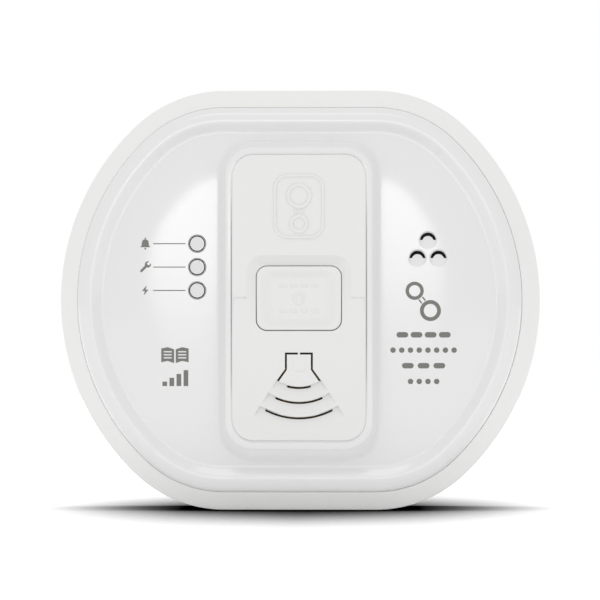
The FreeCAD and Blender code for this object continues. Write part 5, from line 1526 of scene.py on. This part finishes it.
def screws_tree(material, screw):
    """The screw on the four corners of a rectangle."""
    tree = bpy.data.node_groups.new("four_screws", "GeometryNodeTree")
    given, identifiers = named_inputs(tree, (
        ("Across", "NodeSocketFloat", 0.072), ("Up", "NodeSocketFloat", 0.058),
        ("Middle", "NodeSocketVector", None),
    ))
    corners = add_node(tree, "GeometryNodeMeshGrid", [
        ("Size X", given.outputs["Across"]), ("Size Y", given.outputs["Up"]),
        ("Vertices X", 2), ("Vertices Y", 2),
    ])
    upright = add_node(tree, "GeometryNodeTransform", [
        ("Geometry", corners.outputs[0]), ("Rotation", (math.pi / 2, 0, 0)),
        ("Translation", given.outputs["Middle"]),
    ])
    shape = add_node(tree, "GeometryNodeObjectInfo", [("Object", screw)])
    # Screws stop at different turns
    stop = add_node(tree, "FunctionNodeRandomValue", [("Seed", 7)], data_type="FLOAT_VECTOR")
    stop.inputs[0].default_value = (0, 0, 0)
    stop.inputs[1].default_value = (0, math.pi / 2, 0)
    four = add_node(tree, "GeometryNodeInstanceOnPoints", [
        ("Points", upright.outputs[0]), ("Instance", shape.outputs["Geometry"]),
        ("Rotation", stop.outputs[0]),
    ])
    finish_tree(tree, four.outputs[0], material)
    return tree, identifiers


class DETECTOR_OT_case_screws(bpy.types.Operator):
    """Make the four cross-recessed case screws"""

    bl_idname = "detector.case_screws"
    bl_label = "Case screws"

    def execute(self, context):
        material = zinc_plated_steel()
        screw = screw_mesh()
        tree, identifiers = screws_tree(material, screw)
        mesh = grown_mesh(tree, identifiers, {
            "Across": 2 * SEAT_SPREAD[0] * MM, "Up": 2 * SEAT_SPREAD[1] * MM,
            "Middle": (0.0, SCREW_HEAD_Y * MM, MIDDLE_Z * MM),
        })
        bpy.data.objects.remove(screw)
        piece = joined_piece("case_screws_turned", [mesh], material, smooth=True)
        piece.data.set_sharp_from_angle(angle=math.radians(35))
        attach(piece, "housing")
        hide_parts("case_screws")
        return {"FINISHED"}


# Mounting plate

PLATE_Z = 56.5
PLATE_HALF = (46.5, 38.0)
PLATE_CORNER = 23.0
PLATE_FRONT_Y = 18.7
PLATE_REAR_Y = 22.0
PLATE_RIB = 1.6
PLATE_CELL = 9.6
PLATE_POCKET = 1.6
WALL_SCREWS = ((-30.0, PLATE_Z), (30.0, PLATE_Z))
# A countersink's mouth and its hole
WALL_SCREW_RADII = (4.5, 2.25)
COUNTERSINK_DEPTH = 1.35
PLATE_ROUNDING = 0.6
PLATE_SHIFTS = (0.0, -0.02, -0.08, -0.18, -0.32, -0.5, -0.62, -1.4)
POCKET_CORNER = 1.2
POCKET_EDGE = 0.3
HOOK_HALF_WIDTH = 3.0
GROOVE = ((-20.0, 65.5), (5.0, 5.5))


def plate_distance(x, z):
    return box_distance(x, z, (0, PLATE_Z), PLATE_HALF, PLATE_CORNER)


def plate_cells():
    """Middles of the pockets between the ribs, clear of the plate's edge, screw holes and groove."""
    pitch = PLATE_CELL + PLATE_RIB
    kept = []
    for column in range(-4, 5):
        for row in range(-3, 4):
            x, z = column * pitch, PLATE_Z + row * pitch
            half = PLATE_CELL / 2
            at = np.array([(x + sx * half, z + sz * half) for sx in (-1, 1) for sz in (-1, 1)])
            if plate_distance(at[:, 0], at[:, 1]).max() > -2.2:
                continue
            if min(math.dist((x, z), hole) for hole in WALL_SCREWS) < 10.5:
                continue
            if box_distance(np.array([x]), np.array([z]), *GROOVE, 0.1)[0] < PLATE_CELL / 2:
                continue
            kept.append((x, z))
    return kept


def hook_faces(x, foot):
    """One hook, drawn from the side: a neck through the rear wall and a lip with a sloped tip."""
    head, tip = foot + 3.0, foot + 6.5
    side = [
        (19.0, foot + 0.3), (18.7, foot), (14.9, foot), (14.4, foot + 0.5), (14.4, tip - 1.2), (15.6, tip),
        (16.0, tip), (16.2, tip - 0.2), (16.2, head), (18.7, head), (19.0, head - 0.2),
    ]
    count = len(side)
    middle = (17.0, foot + 1.5)
    places, faces, normals = [], [], []
    for end in (-1, 1):
        places += [(x + end * HOOK_HALF_WIDTH, y, z) for y, z in side]
        places += [(x + end * HOOK_HALF_WIDTH, *middle)]
    for end, first in ((-1, 0), (1, count + 1)):
        for n in range(count):
            m = (n + 1) % count
            corners = (first + n, first + m, first + count)
            faces.append(corners if end < 0 else corners[::-1])
            normals += [(end, 0, 0)] * 3
    for n in range(count):
        m = (n + 1) % count
        faces.append((n, count + 1 + n, count + 1 + m, m))
        run = np.subtract(side[m], side[n])
        away = np.array((0, -run[1], run[0])) / np.linalg.norm(run)
        normals += [tuple(away)] * 4
    return places, faces, normals


class DETECTOR_OT_mounting_plate(bpy.types.Operator):
    """Make the ribbed wall plate with its countersinks, groove and hooks"""

    bl_idname = "detector.mounting_plate"
    bl_label = "Mounting plate"

    def execute(self, context):
        cells = plate_cells()
        cell_half = (PLATE_CELL / 2, PLATE_CELL / 2)

        def front(x, z):
            height = np.full_like(x, PLATE_FRONT_Y)
            for middle in WALL_SCREWS:
                away = np.hypot(x - middle[0], z - middle[1])
                outer, inner = WALL_SCREW_RADII
                height = height + COUNTERSINK_DEPTH * np.clip((outer - away) / (outer - inner), 0, 1)
            deep = np.clip((z - 60.0) / 4, 0, 2)
            height = height + deep * inside_of(box_distance(x, z, *GROOVE, 0.1), STEP_EDGE)
            return rounded_over(height, plate_distance(x, z), PLATE_ROUNDING, 0.99983)

        def rear(x, z):
            height = np.full_like(x, PLATE_REAR_Y)
            for middle in cells:
                pocket = box_distance(x, z, middle, cell_half, POCKET_CORNER)
                height = height - PLATE_POCKET * inside_of(pocket, POCKET_EDGE)
            return height

        loops = box_loops((0, PLATE_Z), PLATE_HALF, PLATE_CORNER, PLATE_SHIFTS, 1.6, 24)
        for middle in WALL_SCREWS:
            loops += [circle_loop(middle, radius, 44) for radius in (2.25, 4.44, 4.56, 5.2)]
        loops += box_loops(*GROOVE, 0.1, ACROSS_STEP, 0.8, 3)
        for middle in cells:
            loops += box_loops(middle, cell_half, POCKET_CORNER, (0.15, 0.0, -0.15), 1.6, 4)
        free = grid_points((-46, 19), (46, 94), 2.2)
        free = free[plate_distance(free[:, 0], free[:, 1]) < -2.0]
        points = cleared(free, loops, 0.5)

        def inside(x, z):
            kept = plate_distance(x, z) < 0
            for middle in WALL_SCREWS:
                kept &= np.hypot(x - middle[0], z - middle[1]) > WALL_SCREW_RADII[1] - 0.003
            return kept

        shell = Shell()
        shell.add_relief(loops, points, inside, front, rear)
        for x, foot in HOOK_FEET:
            shell.add(*hook_faces(x, foot))
        piece = shell.build("mounting_plate_moulding", matt_white_abs(context))
        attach(piece, "wall_plate")
        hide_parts("mounting_plate")
        return {"FINISHED"}


# Parts whose CAD shape stays


def refinish(material, *nodes):
    for node in nodes:
        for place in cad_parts[node].material_slots:
            place.material = material


class DETECTOR_OT_light_parts(bpy.types.Operator):
    """Finish the light pipe and the three light-emitting diodes"""

    bl_idname = "detector.light_parts"
    bl_label = "Light pipe and diodes"

    def execute(self, context):
        # Frosted polycarbonate: milky, so that the unlit rods look white in their rings
        frosted = moulded_plastic("frosted_polycarbonate", linear("#E2E2E2"), 0.4, 1.58, 0.3, 0.1, 0.05)
        refinish(frosted, "light_pipe")
        for node, colour in (("alarm_led", "#B3201B"), ("fault_led", "#D08A14"), ("power_led", "#2E9A3C")):
            refinish(clear_resin(node.replace("led", "tinted_epoxy"), linear(colour), 0.12, 0.7), node)
        return {"FINISHED"}


class DETECTOR_OT_electronics(bpy.types.Operator):
    """Finish the circuit board, its components and the two switches"""

    bl_idname = "detector.electronics"
    bl_label = "Electronics"

    def execute(self, context):
        refinish(solder_mask("green_solder_mask"), "circuit_board")
        # Glass-filled nylon: near black with a dry speckled grain
        nylon = moulded_plastic(
            "glass_filled_nylon", linear("#262626"), 0.5, 1.53, 0.25, 0.3, 0.06, tint=0.12,
        )
        refinish(nylon, "test_switch_body", "test_switch_plunger", "power_switch_body")
        # Epoxy moulding compound of a chip: matt black with fine filler grains
        epoxy = moulded_plastic(
            "epoxy_moulding_compound", linear("#1E1F20"), 0.6, 1.55, 0.12, 0.3, 0.05, tint=0.1,
        )
        refinish(epoxy, "microcontroller")
        # Fired ceramic of the small chip parts: tan, smooth and slightly mottled
        ceramic = moulded_plastic(
            "fired_ceramic", linear("#A58D6C"), 0.42, 1.6, 0.2, 0.15, 0.05, 0.8, tint=0.1,
        )
        refinish(ceramic, "chip_components")
        # Shrink sleeve: thin glossy film, drawn tight
        sleeve = moulded_plastic(
            "black_shrink_sleeve", linear("#20242E"), 0.25, 1.53, 0.9, 0.12, 0.04, tint=0.06,
        )
        refinish(sleeve, "storage_capacitor")
        # Sintered ferrite: dark grey, grainy and dull
        ferrite = moulded_plastic(
            "sintered_ferrite", linear("#35353A"), 0.68, 2.0, 0.15, 0.5, 0.06, tint=0.15,
        )
        refinish(ferrite, "boost_coil")
        # Acetal: mid grey and slippery, with a soft sheen
        grey = moulded_plastic("grey_acetal", linear("#9A9C9E"), 0.35, 1.48, 0.4, 0.1, 0.04)
        refinish(grey, "power_plunger")
        return {"FINISHED"}


class DETECTOR_OT_sensor(bpy.types.Operator):
    """Finish the gas sensor, its cap, gasket and pins"""

    bl_idname = "detector.sensor"
    bl_label = "Gas sensor"

    def execute(self, context):
        # Drawn nickel-plated can: soft vertical draw lines
        refinish(metal("drawn_nickel", linear("#C9C5BC"), 0.3, 0.3, (1, 0.08, 1)), "co_sensor_can")
        # Polypropylene cap: black and waxy
        cap = moulded_plastic(
            "black_polypropylene", linear("#1B1B1C"), 0.38, 1.49, 0.35, 0.12, 0.05, tint=0.1,
        )
        refinish(cap, "co_sensor_cap")
        refinish(foam_rubber("closed_cell_foam"), "sensor_gasket")
        # Bright tin: pale, even and mirror-like
        refinish(metal("bright_tin", linear("#CFCFCB"), 0.24, 0.5, (1, 1, 1)), "sensor_pins")
        return {"FINISHED"}


class DETECTOR_OT_sounder(bpy.types.Operator):
    """Finish the sounder's horn, disc, ceramic and contacts"""

    bl_idname = "detector.sounder"
    bl_label = "Sounder"

    def execute(self, context):
        # Moulded horn: black plastic with a light spark texture
        horn = moulded_plastic("black_moulded_abs", linear("#191919"), 0.48, 1.54, 0.3, 0.2, 0.05, tint=0.1)
        refinish(horn, "sounder_horn")
        # Rolled brass with long lines across, its colour darkened as painted shade so that it stays dark
        # behind the slots
        refinish(metal("rolled_brass", linear("#7D6B48"), 0.27, 0.25, (0.1, 1, 1)), "piezo_disc")
        # Silvered ceramic: grey, matt, with brushed-on silver showing as a fine mottle
        silvered = moulded_plastic(
            "silvered_ceramic", linear("#8B8780"), 0.5, 1.6, 0.15, 0.2, 0.06, 0.6, tint=0.05,
        )
        refinish(silvered, "piezo_ceramic")
        # Tinned spring wire: pale, with lines drawn along it
        refinish(metal("tinned_spring_wire", linear("#C8C8C4"), 0.26, 0.3, (1, 0.2, 1)), "sounder_contacts")
        return {"FINISHED"}


class DETECTOR_OT_battery(bpy.types.Operator):
    """Finish the battery cell and its welded strips"""

    bl_idname = "detector.battery"
    bl_label = "Battery"

    def execute(self, context):
        # Printed film sleeve: mid blue, glossy, with faint wrinkles
        sleeve = moulded_plastic(
            "blue_shrink_sleeve", linear("#2A4E86"), 0.22, 1.53, 1.2, 0.2, 0.04, tint=0.05,
        )
        refinish(sleeve, "battery_cell")
        # Nickel strip: warm grey, with lines along its length
        refinish(metal("nickel_strip", linear("#C7C6C0"), 0.3, 0.3, (0.1, 1, 1)), "battery_tabs")
        return {"FINISHED"}


# Stage, in metres

# Each lamp's place, and its width and height
SOFTBOX = ((-0.06, -1.5, 0.177), (0.42, 0.2))
OVERHEAD = ((-0.1, -0.7, 1.5), (1.0, 0.4))
# The lens is a little to the right and below the middle, and aims at the front of the case
LENS_X = 0.019
LENS_Z = 0.036
AIM_Y = -0.008
SENSOR_MM = 36.0
FLOOR_HALF = (4, 3)
SHADOW_REACH = 0.3


class DETECTOR_OT_stage(bpy.types.Operator):
    """Set up the floor, the room light, the two lamps and the camera"""

    bl_idname = "detector.stage"
    bl_label = "Stage"

    def execute(self, context):
        studio = context.scene.detector_studio
        self.add_floor()
        self.add_world(context, studio.ambient)
        self.add_lamp(context, "softbox", *SOFTBOX, studio.softbox_power)
        self.add_lamp(context, "overhead", *OVERHEAD, studio.overhead_power)
        self.add_camera(context, studio)
        context.scene.view_settings.view_transform = "Standard"
        return {"FINISHED"}

    def add_floor(self):
        mesh = bpy.data.meshes.new("floor")
        x, y = FLOOR_HALF
        mesh.from_pydata([(-x, -y, 0), (x, -y, 0), (x, y, 0), (-x, y, 0)], [], [(0, 1, 2, 3)])
        floor = bpy.data.objects.new("floor", mesh)
        bpy.context.scene.collection.objects.link(floor)
        material = bpy.data.materials.new("white_paper")
        material.use_nodes = True
        tree = material.node_tree
        tree.nodes.clear()
        # Paper bounces an even pale light and adds a painted glow of its own, looks white to the camera and
        # in reflections, and has a painted shadow that darkens it towards what stands on it
        path = add_node(tree, "ShaderNodeLightPath")
        seen = maths(tree, "MAXIMUM", path.outputs["Is Camera Ray"], path.outputs["Is Glossy Ray"])
        paper = add_node(tree, "ShaderNodeBsdfDiffuse", [("Color", (0.8, 0.8, 0.8, 1))])
        # Painted glow: the paper gives off a little light of its own, which lights the case from below
        glow = add_node(tree, "ShaderNodeEmission", [("Strength", 0.2)])
        bounced = add_node(tree, "ShaderNodeAddShader", [(0, paper.outputs[0]), (1, glow.outputs[0])])
        under = add_node(tree, "ShaderNodeAmbientOcclusion", [("Distance", SHADOW_REACH)], samples=24)
        place = add_node(tree, "ShaderNodeTexCoord").outputs["Object"]
        apart = add_node(tree, "ShaderNodeSeparateXYZ", [(0, place)])
        aside = maths(tree, "ABSOLUTE", apart.outputs["X"])
        # The painted shadow is deepest below the flat foot and gone beside the case
        painted_shadow_depth = maths(tree, "POWER", under.outputs["AO"], ranged(tree, aside, 5.8, 0.0, end=0.085))
        painted_shadow_tone = maths(tree, "MULTIPLY", painted_shadow_depth, ranged(tree, aside, 1.72, 1.5, end=0.07))
        painted_shadow_paper = add_node(tree, "ShaderNodeBsdfDiffuse", [("Color", painted_shadow_tone)])
        # Painted light: a glow on the floor that stands for the light which creeps under the rounded sides
        painted_creep_strength = ranged(tree, aside, 0.0, 0.25, start=0.03, end=0.07)
        painted_creep_light = add_node(tree, "ShaderNodeEmission", [("Strength", painted_creep_strength)])
        shown = add_node(tree, "ShaderNodeAddShader", [(0, painted_shadow_paper.outputs[0]), (1, painted_creep_light.outputs[0])])
        mixed = add_node(tree, "ShaderNodeMixShader", [
            (0, seen), (1, bounced.outputs[0]), (2, shown.outputs[0]),
        ])
        add_node(tree, "ShaderNodeOutputMaterial", [("Surface", mixed.outputs[0])])
        mesh.materials.append(material)

    def add_world(self, context, ambient):
        world = bpy.data.worlds.new("room")
        context.scene.world = world
        world.use_nodes = True
        tree = world.node_tree
        tree.nodes.clear()
        path = add_node(tree, "ShaderNodeLightPath")
        # White where it is seen, reflected or seen through the clear parts, and dimmer as a light
        seen = maths(tree, "MAXIMUM", path.outputs["Is Camera Ray"], path.outputs["Is Transmission Ray"])
        reflected = maths(tree, "MAXIMUM", seen, path.outputs["Is Glossy Ray"])
        sky = add_node(tree, "ShaderNodeBackground", [
            ("Color", (1, 1, 1, 1)), ("Strength", ranged(tree, reflected, ambient, 1.0)),
        ])
        add_node(tree, "ShaderNodeOutputWorld", [("Surface", sky.outputs[0])])

    def add_lamp(self, context, name, place, size, power):
        """An oval lamp aimed at the middle of the case."""
        lamp = bpy.data.lights.new(name, "AREA")
        lamp.shape = "ELLIPSE"
        lamp.size, lamp.size_y = size
        lamp.energy = power
        holder = bpy.data.objects.new(name, lamp)
        context.scene.collection.objects.link(holder)
        holder.location = place
        aim = Vector((0, 0, MIDDLE_Z * MM)) - holder.location
        holder.rotation_euler = aim.to_track_quat("-Z", "Y").to_euler()

    def add_camera(self, context, studio):
        lens = bpy.data.cameras.new("camera")
        lens.lens = studio.focal_length
        lens.sensor_width = SENSOR_MM
        lens.clip_start = 0.01
        camera = bpy.data.objects.new("camera", lens)
        context.scene.collection.objects.link(camera)
        target = Vector((0, AIM_Y, MIDDLE_Z * MM))
        camera.location = (LENS_X, AIM_Y - studio.camera_distance, LENS_Z)
        camera.rotation_euler = (target - camera.location).to_track_quat("-Z", "Y").to_euler()
        context.scene.camera = camera


class DETECTOR_PT_panel(bpy.types.Panel):
    """Sizes, colours and pieces of the detector"""

    bl_idname = "DETECTOR_PT_panel"
    bl_label = "Carbon monoxide detector"
    bl_space_type = "VIEW_3D"
    bl_region_type = "UI"
    bl_category = "Detector"

    def draw(self, context):
        scene = context.scene
        for heading, group in (
            ("Finish", scene.detector_finish), ("Sizes", scene.detector_sizes),
            ("Studio", scene.detector_studio),
        ):
            box = self.layout.box()
            box.label(text=heading)
            for name in group.__annotations__:
                box.prop(group, name)
        for operator in OPERATORS:
            self.layout.operator(operator.bl_idname)


OPERATORS = (
    DETECTOR_OT_back_cover,
    DETECTOR_OT_front_cover,
    DETECTOR_OT_centre_panel,
    DETECTOR_OT_test_button,
    DETECTOR_OT_printed_symbols,
    DETECTOR_OT_pulse_marks,
    DETECTOR_OT_dust_screen,
    DETECTOR_OT_case_screws,
    DETECTOR_OT_mounting_plate,
    DETECTOR_OT_light_parts,
    DETECTOR_OT_electronics,
    DETECTOR_OT_sensor,
    DETECTOR_OT_sounder,
    DETECTOR_OT_battery,
    DETECTOR_OT_stage,
)
GROUPS = (DetectorFinish, DetectorSizes, DetectorStudio)


def register():
    for item in (*GROUPS, *OPERATORS, DETECTOR_PT_panel):
        bpy.utils.register_class(item)
    bpy.types.Scene.detector_finish = PointerProperty(type=DetectorFinish)
    bpy.types.Scene.detector_sizes = PointerProperty(type=DetectorSizes)
    bpy.types.Scene.detector_studio = PointerProperty(type=DetectorStudio)


def unregister():
    for name in ("detector_finish", "detector_sizes", "detector_studio"):
        delattr(bpy.types.Scene, name)
    for item in reversed((*GROUPS, *OPERATORS, DETECTOR_PT_panel)):
        bpy.utils.unregister_class(item)


def main():
    register()
    bpy.ops.detector.back_cover()
    bpy.ops.detector.front_cover()
    bpy.ops.detector.centre_panel()
    bpy.ops.detector.test_button()
    bpy.ops.detector.printed_symbols()
    bpy.ops.detector.pulse_marks()
    bpy.ops.detector.dust_screen()
    bpy.ops.detector.case_screws()
    bpy.ops.detector.mounting_plate()
    bpy.ops.detector.light_parts()
    bpy.ops.detector.electronics()
    bpy.ops.detector.sensor()
    bpy.ops.detector.sounder()
    bpy.ops.detector.battery()
    bpy.ops.detector.stage()


if __name__ == "__main__":
    main()
